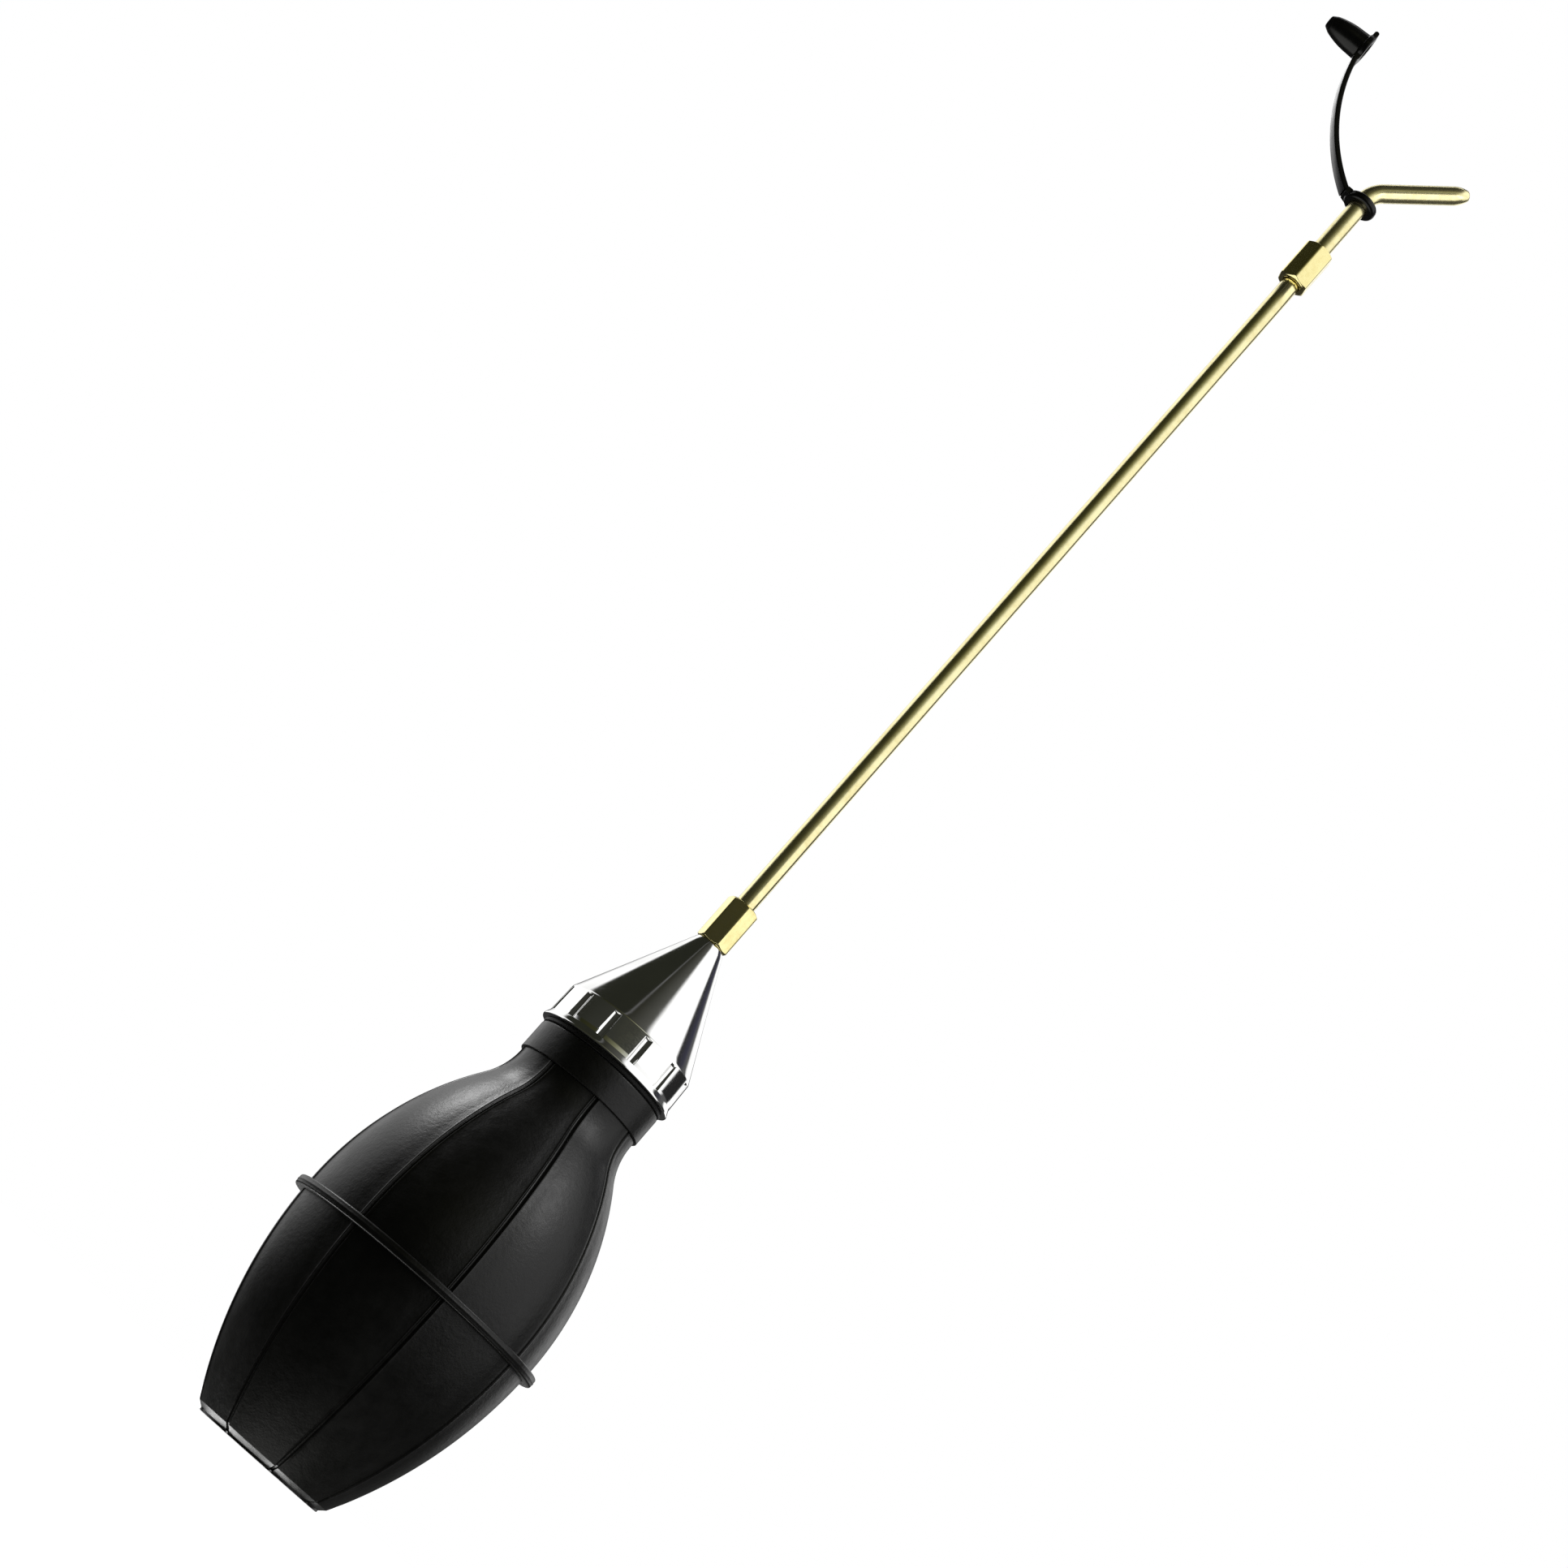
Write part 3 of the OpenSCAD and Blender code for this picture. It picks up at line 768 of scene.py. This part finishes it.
def cap_columns():
    """Columns round the cap: (groove's azimuth, offset from it, share of the way to the next)."""
    columns = []
    for k in range(GRIPS):
        azimuth = GRIP_TURN + k * GRIP_PITCH
        columns += [(azimuth, -s, None) for s in reversed(GRIP_STEPS)] + [(azimuth, 0.0, None)]
        columns += [(azimuth, s, None) for s in GRIP_STEPS]
        columns += [(azimuth, 0.0, (j + 1) / (GRIP_BETWEEN + 1)) for j in range(GRIP_BETWEEN)]
    return columns


def cap_rows():
    """The cap's rows of points, with the finger grooves cut into its grip band."""
    edge_a = math.degrees(GRIP_STEPS[-1] / BAND_R)
    columns = cap_columns()
    rows = []
    for r, z, cut in cap_profile():
        row = []
        for azimuth, offset, share in columns:
            depth = 0.0
            if share is None:
                a = azimuth + math.degrees(offset / BAND_R)
                depth = grip_depth(offset, r) * cut
            else:
                a = azimuth + edge_a + (GRIP_PITCH - 2 * edge_a) * share
            a = math.radians(a)
            row.append(((r - depth) * math.cos(a), (r - depth) * math.sin(a), z))
        rows.append(row)
    return rows


cap = grid_object("cone_cap_chromed", cap_rows())
paint(cap, CAP_CHROME, "cap")
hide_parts("cone_cap")

# Brass stud in the cone's tip, with a helical thread
STUD_COLUMNS = 72
STUD_TOP = high("tip_nipple").z
STUD_BORE = 2
STUD_SOFT = 0.15
stud_root = NIPPLE_R - SMALL_DEPTH
stud_rows = turned([(STUD_BORE, BOSS_Z), (NIPPLE_R, BOSS_Z), (NIPPLE_R, TIP_Z), (stud_root, TIP_Z + 0.1)],
                   STUD_COLUMNS)
stud_rows += threaded_rows(stud_root, NIPPLE_R, SMALL_PITCH, TIP_Z + 0.2, STUD_TOP - 0.3,
                           STUD_COLUMNS, SMALL_STEPS)
stud_rows += turned([(stud_root - 0.2, STUD_TOP), (STUD_BORE + STUD_SOFT, STUD_TOP),
                     (STUD_BORE, STUD_TOP - STUD_SOFT)], STUD_COLUMNS)
stud = grid_object("tip_stud_threaded", stud_rows)
paint(stud, BRASS_HEX, "cap")
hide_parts("tip_nipple")


# ---------------------------------------------------------------- couplers

HEX_AF = 10
HEX_END_R = 4.6
HEX_CUT = 0.8
HEX_CORNER = 1.1
HEX_EASE = 0.09
HEX_SHARP = 50
CORNER_STEPS = 4
FLAT_STEPS = 8
MOUTH = 0.25
SHOULDER = 1
SHOULDER_BORE = 2
RUN_GAP = 0.07
TUBE_R = high("extension_tube").x


def hex_outline(turn):
    """A hexagon's outline with small rounded corners, as flat points."""
    centre_r = HEX_AF / math.sqrt(3) - HEX_CORNER / math.cos(math.radians(30))

    def on_corner(middle, towards):
        """A point of the round corner at one azimuth, in the direction of another."""
        m, a = math.radians(middle), math.radians(towards)
        centre = Vector((centre_r * math.cos(m), centre_r * math.sin(m)))
        return centre + Vector((math.cos(a), math.sin(a))) * HEX_CORNER

    points = []
    for k in range(6):
        middle = turn + 60 * k
        points += [on_corner(middle, middle - 30 + 60 * s / CORNER_STEPS) for s in range(CORNER_STEPS + 1)]
        flat_start = points[-1]
        flat_stop = on_corner(middle + 60, middle + 30)
        points += [flat_start.lerp(flat_stop, (i + 1) / (FLAT_STEPS + 1)) for i in range(FLAT_STEPS)]
    return points


def coupler(name, node_name, turn, socket_r, socket_h):
    """A hexagon bar with turned ends, a socket below and a tube's pocket above."""
    z0, z1 = low(node_name).z, high(node_name).z
    outline = hex_outline(turn)
    slope = (HEX_AF / math.sqrt(3) - HEX_END_R) / HEX_CUT
    pocket_r = TUBE_R + BOND_GAP
    socket_top = z0 + socket_h
    lead_in = MOUTH * 0.6

    def round_row(r, z):
        """A round row whose points stand at the outline's own azimuths."""
        return [(r * p.x / p.length, r * p.y / p.length, z) for p in outline]

    rows = [round_row(socket_r, z0 + MOUTH), round_row(socket_r + MOUTH, z0), round_row(HEX_END_R - 0.06, z0)]
    for end, way in ((z0, 1), (z1, -1)):
        cone_row, flat_row = [], []
        for p in outline:
            meet = (p.length - HEX_END_R) / slope
            at = meet - HEX_EASE
            inner_r = HEX_END_R + at * slope
            cone_row.append((inner_r * p.x / p.length, inner_r * p.y / p.length, end + way * at))
            flat_row.append((p.x, p.y, end + way * (meet + HEX_EASE)))
        cone_start = round_row(HEX_END_R + 0.04, end + way * 0.05)
        rows += [cone_start, cone_row, flat_row] if way == 1 else [flat_row, cone_row, cone_start]
    pocket = [(HEX_END_R - 0.06, z1), (pocket_r + lead_in, z1), (pocket_r, z1 - lead_in)]
    pocket += [(pocket_r, socket_top + SHOULDER), (SHOULDER_BORE, socket_top + SHOULDER)]
    pocket += [(SHOULDER_BORE, socket_top), (socket_r, socket_top)]
    rows += [round_row(r, z) for r, z in pocket]
    return weight_normals(grid_object(name, rows, sharp=HEX_SHARP))


LOWER_SOCKET_H = 8.5
UPPER_SOCKET_H = 9
LOWER_HEX_TURN = -70
UPPER_HEX_TURN = -94
coupler_1 = coupler("lower_coupler_hex", "lower_coupler", LOWER_HEX_TURN, NIPPLE_R + RUN_GAP, LOWER_SOCKET_H)
paint(coupler_1, BRASS_HEX, "lance")
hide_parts("lower_coupler")
coupler_2 = coupler("upper_coupler_hex", "upper_coupler", UPPER_HEX_TURN, TUBE_R + RUN_GAP, UPPER_SOCKET_H)
paint(coupler_2, BRASS_HEX, "nozzle")
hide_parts("upper_coupler")


# ---------------------------------------------------------------- tubes

TUBE_T = 0.8
TUBE_BORE = TUBE_R - TUBE_T
TUBE_LOW = low("extension_tube").z
TUBE_TOP = high("extension_tube").z
TUBE_COLUMNS = 64
TUBE_THREAD = 0.28
tube_rows = turned([(TUBE_BORE, TUBE_LOW), (TUBE_R, TUBE_LOW)], TUBE_COLUMNS)
tube_rows += turned(line((TUBE_R, TUBE_LOW + 1), (TUBE_R, TUBE_TOP - 8), 30), TUBE_COLUMNS)
tube_rows += threaded_rows(TUBE_R - TUBE_THREAD, TUBE_R, SMALL_PITCH, TUBE_TOP - 7.2, TUBE_TOP - 0.3,
                           TUBE_COLUMNS, SMALL_STEPS)
tube_rows += turned([(TUBE_R - 0.4, TUBE_TOP), (TUBE_BORE + 0.1, TUBE_TOP), (TUBE_BORE, TUBE_TOP - 0.1)],
                    TUBE_COLUMNS)
tube = grid_object("extension_tube_drawn", tube_rows)
paint(tube, BRASS_TUBE, "lance")
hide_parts("extension_tube")

NOZZLE_LOW = low("nozzle_tube").z
BEND_Z = high("tether_ring").z
BEND_R = 10
BEND_A = 48
NOZZLE_OUT = 29.5
TIP_L = 5.5
TIP_WALL = 2
OUTLET_R = 1
TIP_END_R = OUTLET_R + 0.6
NOZZLE_SHARP = 45
STRAIGHT_L = BEND_Z - NOZZLE_LOW
BEND_L = math.radians(BEND_A) * BEND_R
BEND_STOP = STRAIGHT_L + BEND_L
NOZZLE_L = BEND_STOP + NOZZLE_OUT


def nozzle_frame(s):
    """Centre and tilt of the nozzle's line at a distance along it from its lower end, tilt in radians."""
    if s <= STRAIGHT_L:
        return (0.0, NOZZLE_LOW + s), 0.0
    turn = min(1.0, (s - STRAIGHT_L) / BEND_L) * math.radians(BEND_A)
    x, z = BEND_R * (1 - math.cos(turn)), BEND_Z + BEND_R * math.sin(turn)
    rest = max(0.0, s - STRAIGHT_L - BEND_L)
    return (x + math.sin(turn) * rest, z + math.cos(turn) * rest), turn


def nozzle_row(s, r):
    """A round row square to the nozzle's line."""
    (x, z), turn = nozzle_frame(s)
    row = []
    for j in range(TUBE_COLUMNS):
        a = 2 * math.pi * j / TUBE_COLUMNS
        u, v = r * math.cos(a), r * math.sin(a)
        row.append((x + u * math.cos(turn), v, z - u * math.sin(turn)))
    return row


def nozzle_outline():
    """The nozzle's closed outline as (distance along it, radius), up the outside and down the bore."""
    drop = TUBE_R - TIP_END_R
    round_r = (drop ** 2 + TIP_L ** 2) / (2 * drop)
    round_a = math.degrees(math.asin(TIP_L / round_r)) * 0.94
    outline = [(STRAIGHT_L * i / 12, TUBE_R) for i in range(13)]
    outline += [(STRAIGHT_L + BEND_L * i / 20, TUBE_R) for i in range(1, 21)]
    outline += [(BEND_STOP + (NOZZLE_OUT - TIP_L) * i / 10, TUBE_R) for i in range(1, 11)]
    outline += [(NOZZLE_L - TIP_L + y, TUBE_R - round_r + x) for x, y in arc((0, 0), round_r, 2, round_a, 10)]
    outline += [(NOZZLE_L - 0.08, TIP_END_R - 0.08), (NOZZLE_L, TIP_END_R - 0.3)]
    outline += [(NOZZLE_L, OUTLET_R + 0.12), (NOZZLE_L - 0.12, OUTLET_R), (NOZZLE_L - TIP_WALL, OUTLET_R)]
    outline += [(NOZZLE_L - TIP_WALL - TUBE_T, TUBE_BORE)]
    outline += [(BEND_STOP - BEND_L * i / 10, TUBE_BORE) for i in range(11)]
    return outline + [(0, TUBE_BORE)]


nozzle = grid_object("nozzle_bent", [nozzle_row(s, r) for s, r in nozzle_outline()], sharp=NOZZLE_SHARP)
paint(nozzle, BRASS_NOZZLE, "nozzle")
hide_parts("nozzle_tube")


# ---------------------------------------------------------------- tether

STRAP_R = 65
STRAP_A = 145
STRAP_SWEEP = 43
STRAP_W = 6
STRAP_T = 1.8
RING_TOP = high("tether_ring").z
RING_LOW = low("tether_ring").z
TETHER_R = high("tether_ring").x
TETHER_Z = (RING_TOP + RING_LOW) / 2
STRAP_START = (-(TETHER_R + 1.5), TETHER_Z + 0.6)
STRAP_C = (STRAP_START[0] + STRAP_R * math.sin(math.radians(STRAP_A)),
           STRAP_START[1] - STRAP_R * math.cos(math.radians(STRAP_A)))
STRAP_FROM = math.degrees(math.atan2(STRAP_START[1] - STRAP_C[1], STRAP_START[0] - STRAP_C[0]))
STRAP_ROUND = 0.38
STRAP_WAIST = 0.14
STRAP_SHARP = 60
STRAP_OVERLAP = 0.012
STRAP_STEPS = 44


def box_solid(name, corners, width):
    """A plate: an outline in the XZ plane, width wide along Y."""
    count = len(corners)
    points = [(x, -width / 2, z) for x, z in corners] + [(x, width / 2, z) for x, z in corners]
    faces = [tuple(range(count)), tuple(range(2 * count - 1, count - 1, -1))]
    faces += [(i, (i + 1) % count, (i + 1) % count + count, i + count) for i in range(count)]
    return finish_mesh(name, points, faces)


def strap_point(t, across, depth):
    """A point of the strap: t from root to cap, across its width, depth through its thickness."""
    a = math.radians(STRAP_FROM - STRAP_SWEEP * t)
    r = STRAP_R + depth
    return (STRAP_C[0] + r * math.cos(a), across, STRAP_C[1] + r * math.sin(a))


def strap_piece(name, t0, t1):
    """A stretch of the strap with rounded edges, a little narrower at the strap's middle."""
    hw, ht = STRAP_W / 2 - STRAP_ROUND, STRAP_T / 2 - STRAP_ROUND
    section = []
    for centre, start in (((hw, ht), 0), ((-hw, ht), 90), ((-hw, -ht), 180), ((hw, -ht), 270)):
        section += arc(centre, STRAP_ROUND, start, start + 90, 4)
    rows = []
    for i in range(STRAP_STEPS + 1):
        t = t0 + (t1 - t0) * i / STRAP_STEPS
        narrow = 1 - STRAP_WAIST * math.sin(math.pi * min(1, max(0, t)))
        rows.append([strap_point(t, x * narrow, y) for x, y in section])
    points = [p for row in rows for p in row]
    faces = grid_faces(len(rows), len(section), False, True)
    last = (len(rows) - 1) * len(section)
    faces += [tuple(range(len(section))), tuple(range(last, last + len(section)))]
    return finish_mesh(name, points, faces, sharp=STRAP_SHARP)


# Ring: a rounded rubber ring with a lug that the strap grows out of
RING_EASE = 0.3
RING_BULGE = 1.15
ring_half = (RING_TOP - RING_LOW) / 2
ring_bore = TUBE_R + 0.05
bulge_r = TETHER_R - RING_BULGE
ring_body = lathe("ring_body",
                  [(ring_bore, RING_LOW + RING_EASE), (ring_bore + RING_EASE, RING_LOW)]
                  + arc((bulge_r, RING_LOW + RING_BULGE), RING_BULGE, -90, 0, 5)
                  + arc((bulge_r, RING_TOP - RING_BULGE), RING_BULGE, 0, 90, 5)
                  + [(ring_bore + RING_EASE, RING_TOP), (ring_bore, RING_TOP - RING_EASE)], COLUMNS)
lug = box_solid("ring_lug", [(-TETHER_R + 1.0, TETHER_Z - ring_half + 0.35),
                             (STRAP_START[0] + 0.6, STRAP_START[1] - 1.15),
                             (STRAP_START[0] - 0.1, STRAP_START[1] + 0.35),
                             (STRAP_START[0] + 0.7, STRAP_START[1] + 0.75),
                             (-TETHER_R + 1.0, TETHER_Z + ring_half - 0.15)], STRAP_W)
tether = fuse("tether_ring_moulded", [ring_body, lug])
paint(tether, TETHER_RUBBER, "tether")
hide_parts("tether_ring")

# Strap: two halves that meet at the strap's middle, each holding one end of the strap
STRAP_MID = 0.5
strap_low = strap_piece("strap_lower_half", -STRAP_OVERLAP, STRAP_MID)
paint(strap_low, TETHER_RUBBER)
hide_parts("tether_strap")
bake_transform(strap_low)
strap_high = strap_piece("strap_upper_half", STRAP_MID, 1 + STRAP_OVERLAP)
paint(strap_high, TETHER_RUBBER)
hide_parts("tether_strap")
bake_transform(strap_high)

# Tip cap: a bullet that lies along -X, its mouth towards +X
MOUTH_X = high("tip_cap").x
NOSE_X = low("tip_cap").x
TAB_TOP = high("tip_cap").z
FLANGE_R = 5.5
FLANGE_T = 2.2
FLANGE_SOFT = 0.5
CAP_Z = low("tip_cap").z + FLANGE_R
BODY_R = 4.7
BODY_L = 5
BLUNT_R = 2.4
SOCKET_R = TUBE_R + RUN_GAP
SOCKET_L = 9
SOCKET_SOFT = 0.8
SOCKET_MOUTH = 0.25
AXIS_R = 0.02
TAB_T = 2
TAB_SOFT = 0.5
FOOT_BURY = 1.2
FOOT_DROP = 0.2
cap_l = MOUTH_X - NOSE_X
nose_l = cap_l - BODY_L
nose_drop = BODY_R - BLUNT_R
nose_r = (nose_drop ** 2 + nose_l ** 2) / (2 * nose_drop)
nose_a = math.degrees(math.asin(nose_l / nose_r))
flange = [(SOCKET_R + SOCKET_MOUTH, 0), (FLANGE_R - 0.45, 0), (FLANGE_R - 0.1, 0.15), (FLANGE_R, FLANGE_SOFT)]
flange += [(FLANGE_R, FLANGE_T - FLANGE_SOFT), (FLANGE_R - 0.15, FLANGE_T - 0.1), (FLANGE_R - 0.45, FLANGE_T)]
body = [(BODY_R + 0.3, FLANGE_T), (BODY_R + 0.12, FLANGE_T + 0.25)]
body += arc((BODY_R - nose_r, BODY_L), nose_r, 0, nose_a - 4, 12)
body += [(BLUNT_R - 0.35, cap_l - 0.12), (BLUNT_R - 0.9, cap_l), (AXIS_R, cap_l)]
socket = [(AXIS_R, SOCKET_L + 0.6), (SOCKET_R - SOCKET_SOFT, SOCKET_L)]
socket += [(SOCKET_R, SOCKET_L - SOCKET_SOFT), (SOCKET_R, SOCKET_MOUTH)]
lie = Matrix.Translation((MOUTH_X, 0, CAP_Z)) @ Matrix.Rotation(math.radians(-90), 4, "Y")
bullet = lathe("bullet", flange + body + socket, COLUMNS, axis=lie)

flange_top = CAP_Z + FLANGE_R
tab = box_solid("pull_tab", [(MOUTH_X - 0.2, flange_top - FOOT_BURY),
                             (MOUTH_X - 0.25, TAB_TOP - TAB_SOFT),
                             (MOUTH_X - 0.7, TAB_TOP), (MOUTH_X - 1.5, TAB_TOP),
                             (MOUTH_X - TAB_T, TAB_TOP - TAB_SOFT),
                             (MOUTH_X - TAB_T, flange_top - FOOT_BURY)], STRAP_W)
flange_low = CAP_Z - FLANGE_R
strap_end = strap_point(1.0, 0, 0)
foot = box_solid("cap_foot", [(MOUTH_X - FLANGE_T, flange_low + FOOT_BURY),
                              (MOUTH_X - FLANGE_T, flange_low - FOOT_DROP),
                              (strap_end[0] - 0.7, strap_end[2] + 0.1),
                              (strap_end[0] + 0.7, strap_end[2] - 0.2),
                              (MOUTH_X, flange_low - FOOT_DROP), (MOUTH_X, flange_low + FOOT_BURY)], STRAP_W)
tip = fuse("tip_cap_moulded", [bullet, tab, foot])
paint(tip, TETHER_RUBBER, "tip_cap")
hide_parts("tip_cap")

# Seals: the CAD rings stay as they are and only get their rubber
for seal_node in ("lower_seal", "upper_seal"):
    seal = frame["nodes"][seal_node]
    seal.data.materials.clear()
    seal.data.materials.append(SEAL_RUBBER)


# ---------------------------------------------------------------- floor, light and camera

def pale_floor():
    """A nearly white studio floor with faint clouds."""
    material, tree = new_material("pale_floor")
    cloud = noise(tree, place(tree), size_mm=400)
    colour = ramp(tree, cloud, [(0.3, (0.9, 0.9, 0.9)), (0.7, (0.93, 0.93, 0.93))])
    glow = {"Emission_Color": (1, 1, 1, 1), "Emission_Strength": 0.8}
    return shader(material, tree, Base_Color=colour, Roughness=0.9, **glow)


FLOOR_SIZE = 60.0
FLOOR_Z = -1e-4
corners = [(x * FLOOR_SIZE, y * FLOOR_SIZE, FLOOR_Z) for x, y in ((-1, -1), (1, -1), (1, 1), (-1, 1))]
floor_mesh = bpy.data.meshes.new("floor")
floor_mesh.from_pydata(corners, [], [(0, 1, 2, 3)])
floor_mesh.materials.append(pale_floor())
floor = bpy.data.objects.new("floor", floor_mesh)
bpy.context.scene.collection.objects.link(floor)
floor.visible_glossy = False
floor.visible_diffuse = False
floor.visible_shadow = False


def grey(level):
    """A neutral colour."""
    return (level, level, level)


DARK = grey(0.02)
OLIVE = (0.02, 0.021, 0.015)
WARM_GREY = (0.035, 0.036, 0.03)
SHEET = grey(1.25)
TALL_SHEET = grey(1.15)
CARD = grey(1.3)
THIN_CARD = grey(1.1)

# The studio's walls, as (azimuth in degrees, colour): 0 is at the front, 90 at the right. There is one
# list for each height that the pieces reflect.
AT_BAND = ((-180, grey(0.05)), (-160, grey(0.08)), (-154, SHEET), (-98, SHEET), (-93, OLIVE),
           (-40, WARM_GREY), (25, WARM_GREY), (29, SHEET), (101, SHEET), (104, DARK), (136, DARK),
           (140, SHEET), (160, SHEET), (166, grey(0.05)), (180, grey(0.05)))
AT_TUBE = ((-180, grey(0.3)), (-164, grey(0.4)), (-150, TALL_SHEET), (-92, TALL_SHEET), (-82, grey(0.06)),
           (-76, (0.02, 0.021, 0.009)), (-40, (0.034, 0.034, 0.015)), (-22, (0.058, 0.058, 0.03)),
           (-6, (0.17, 0.17, 0.1)), (8, (0.33, 0.33, 0.24)), (20, (0.56, 0.57, 0.5)), (31, grey(0.85)),
           (46, grey(1.1)), (104, TALL_SHEET), (112, grey(0.1)), (138, grey(0.1)), (144, TALL_SHEET),
           (168, TALL_SHEET), (180, grey(0.3)))
ABOVE = ((-180, DARK), (-158, grey(0.03)), (-153, CARD), (-125, CARD), (-118, OLIVE), (-38, OLIVE),
         (-34, grey(0.14)), (-30, (0.025, 0.025, 0.018)), (20, (0.09, 0.09, 0.08)), (34, CARD), (104, CARD),
         (109, grey(0.03)), (134, (0.05, 0.05, 0.08)), (143, THIN_CARD), (149, DARK), (154, DARK),
         (157, THIN_CARD), (163, THIN_CARD), (167, DARK), (180, DARK))
BELOW = ((-180, grey(0.04)), (-140, grey(0.03)), (-90, DARK), (-70, OLIVE), (0, DARK), (60, grey(0.04)),
         (120, grey(0.06)), (180, grey(0.04)))
BASE_SHEET = (1.3, 1.3, 1.25)
BACKDROP = (1.0, 1.0, 1.0)


def studio_world():
    """A studio of light sheets and dark walls that the pieces reflect, with plain white behind them."""
    world = bpy.data.worlds.new("studio")
    world.use_nodes = True
    tree = world.node_tree
    tree.nodes.clear()
    way = node(tree, "ShaderNodeTexCoord", out="Generated")
    split = tree.nodes.new("ShaderNodeSeparateXYZ")
    tree.links.new(way, split.inputs[0])
    x, y, z = split.outputs
    azimuth = math_node(tree, "ARCTAN2", x, math_node(tree, "MULTIPLY", y, -1.0))
    turn = map_range(tree, azimuth, -math.pi, math.pi, 0, 1)

    def walls(stops):
        """The walls' colour all round at one height."""
        return ramp(tree, turn, [((a + 180) / 360, colour) for a, colour in stops])

    # Each layer takes over where the direction's height passes from the first value to the second
    colour = walls(AT_BAND)
    layers = ((0.25, 0.28, walls(AT_TUBE)), (0.54, 0.6, walls(ABOVE)), (0.06, -0.1, walls(BELOW)),
              (-0.55, -0.7, OLIVE), (-0.8, -0.84, BASE_SHEET))
    for fade_from, fade_to, layer in layers:
        colour = mix_colour(tree, map_range(tree, z, fade_from, fade_to, 0, 1), colour, layer)
    seen = node(tree, "ShaderNodeLightPath", out="Is Camera Ray")
    colour = mix_colour(tree, seen, colour, BACKDROP)
    background = node(tree, "ShaderNodeBackground", {"Color": colour, "Strength": 1.0})
    node(tree, "ShaderNodeOutputWorld", {"Surface": background})
    bpy.context.scene.world = world


studio_world()


def soft_light(name, where, target, size, power):
    """A rectangular softbox or card that faces a target."""
    light = bpy.data.lights.new(name, "AREA")
    light.shape = "RECTANGLE"
    light.size, light.size_y = size
    light.energy = power
    made = bpy.data.objects.new(name, light)
    made.location = where
    made.rotation_euler = (Vector(target) - Vector(where)).to_track_quat("-Z", "Y").to_euler()
    bpy.context.scene.collection.objects.link(made)
    return made


def lit_by(light, material):
    """Lets a light fall only on the pieces of one material, as a flag or a snoot does in a studio."""
    lit = bpy.data.collections.new(light.name + "_pieces")
    for piece in bpy.context.scene.objects:
        if piece.type == "MESH" and material in piece.data.materials[:]:
            lit.objects.link(piece)
    light.light_linking.receiver_collection = lit


# Name, place, target, size, power and the material that it lights; places and sizes are in metres
LIGHTS = (
    ("left_softbox", (-1.05, 0.4, 1.0), (0, 0, 0.1), (0.35, 0.4), 9, BULB_RUBBER),
    ("right_softbox", (0.85, -0.55, 1.1), (0, 0, 0.1), (0.5, 0.5), 4.5, BULB_RUBBER),
    ("base_card", (-0.12, 0.385, -0.58), (0, 0, 0), (0.6, 0.6), 9, BULB_RUBBER),
    ("strap_card", (-0.354, 0.833, 1.012), (-0.036, 0, 0.56), (0.35, 0.35), 0.7, TETHER_RUBBER),
    ("nozzle_card", (0.75, -0.62, 0.2), (0, 0, 0.56), (1.1, 1.1), 5, BRASS_NOZZLE),
)
for name, where, target, size, power, material in LIGHTS:
    lit_by(soft_light(name, where, target, size, power), material)

CAMERA_AT = (0.0457, -0.858, 0.006)
YAW = math.radians(-4.09)
PITCH = math.radians(15.92)
ROLL = math.radians(41.58)
LENS = 67.08
CLIP_START = 0.01
forward = Vector((math.sin(YAW) * math.cos(PITCH), math.cos(YAW) * math.cos(PITCH), math.sin(PITCH)))
level = forward.cross(Vector((0, 0, 1))).normalized()
upright = level.cross(forward)
right = level * math.cos(ROLL) + upright * math.sin(ROLL)
up = upright * math.cos(ROLL) - level * math.sin(ROLL)
camera_data = bpy.data.cameras.new("camera")
camera_data.lens = LENS
camera_data.clip_start = CLIP_START
camera = bpy.data.objects.new("camera", camera_data)
facing = Matrix((right, up, -forward)).transposed()
camera.matrix_world = Matrix.Translation(CAMERA_AT) @ facing.to_4x4()
bpy.context.scene.collection.objects.link(camera)
bpy.context.scene.camera = camera
bpy.context.scene.view_settings.view_transform = "Standard"
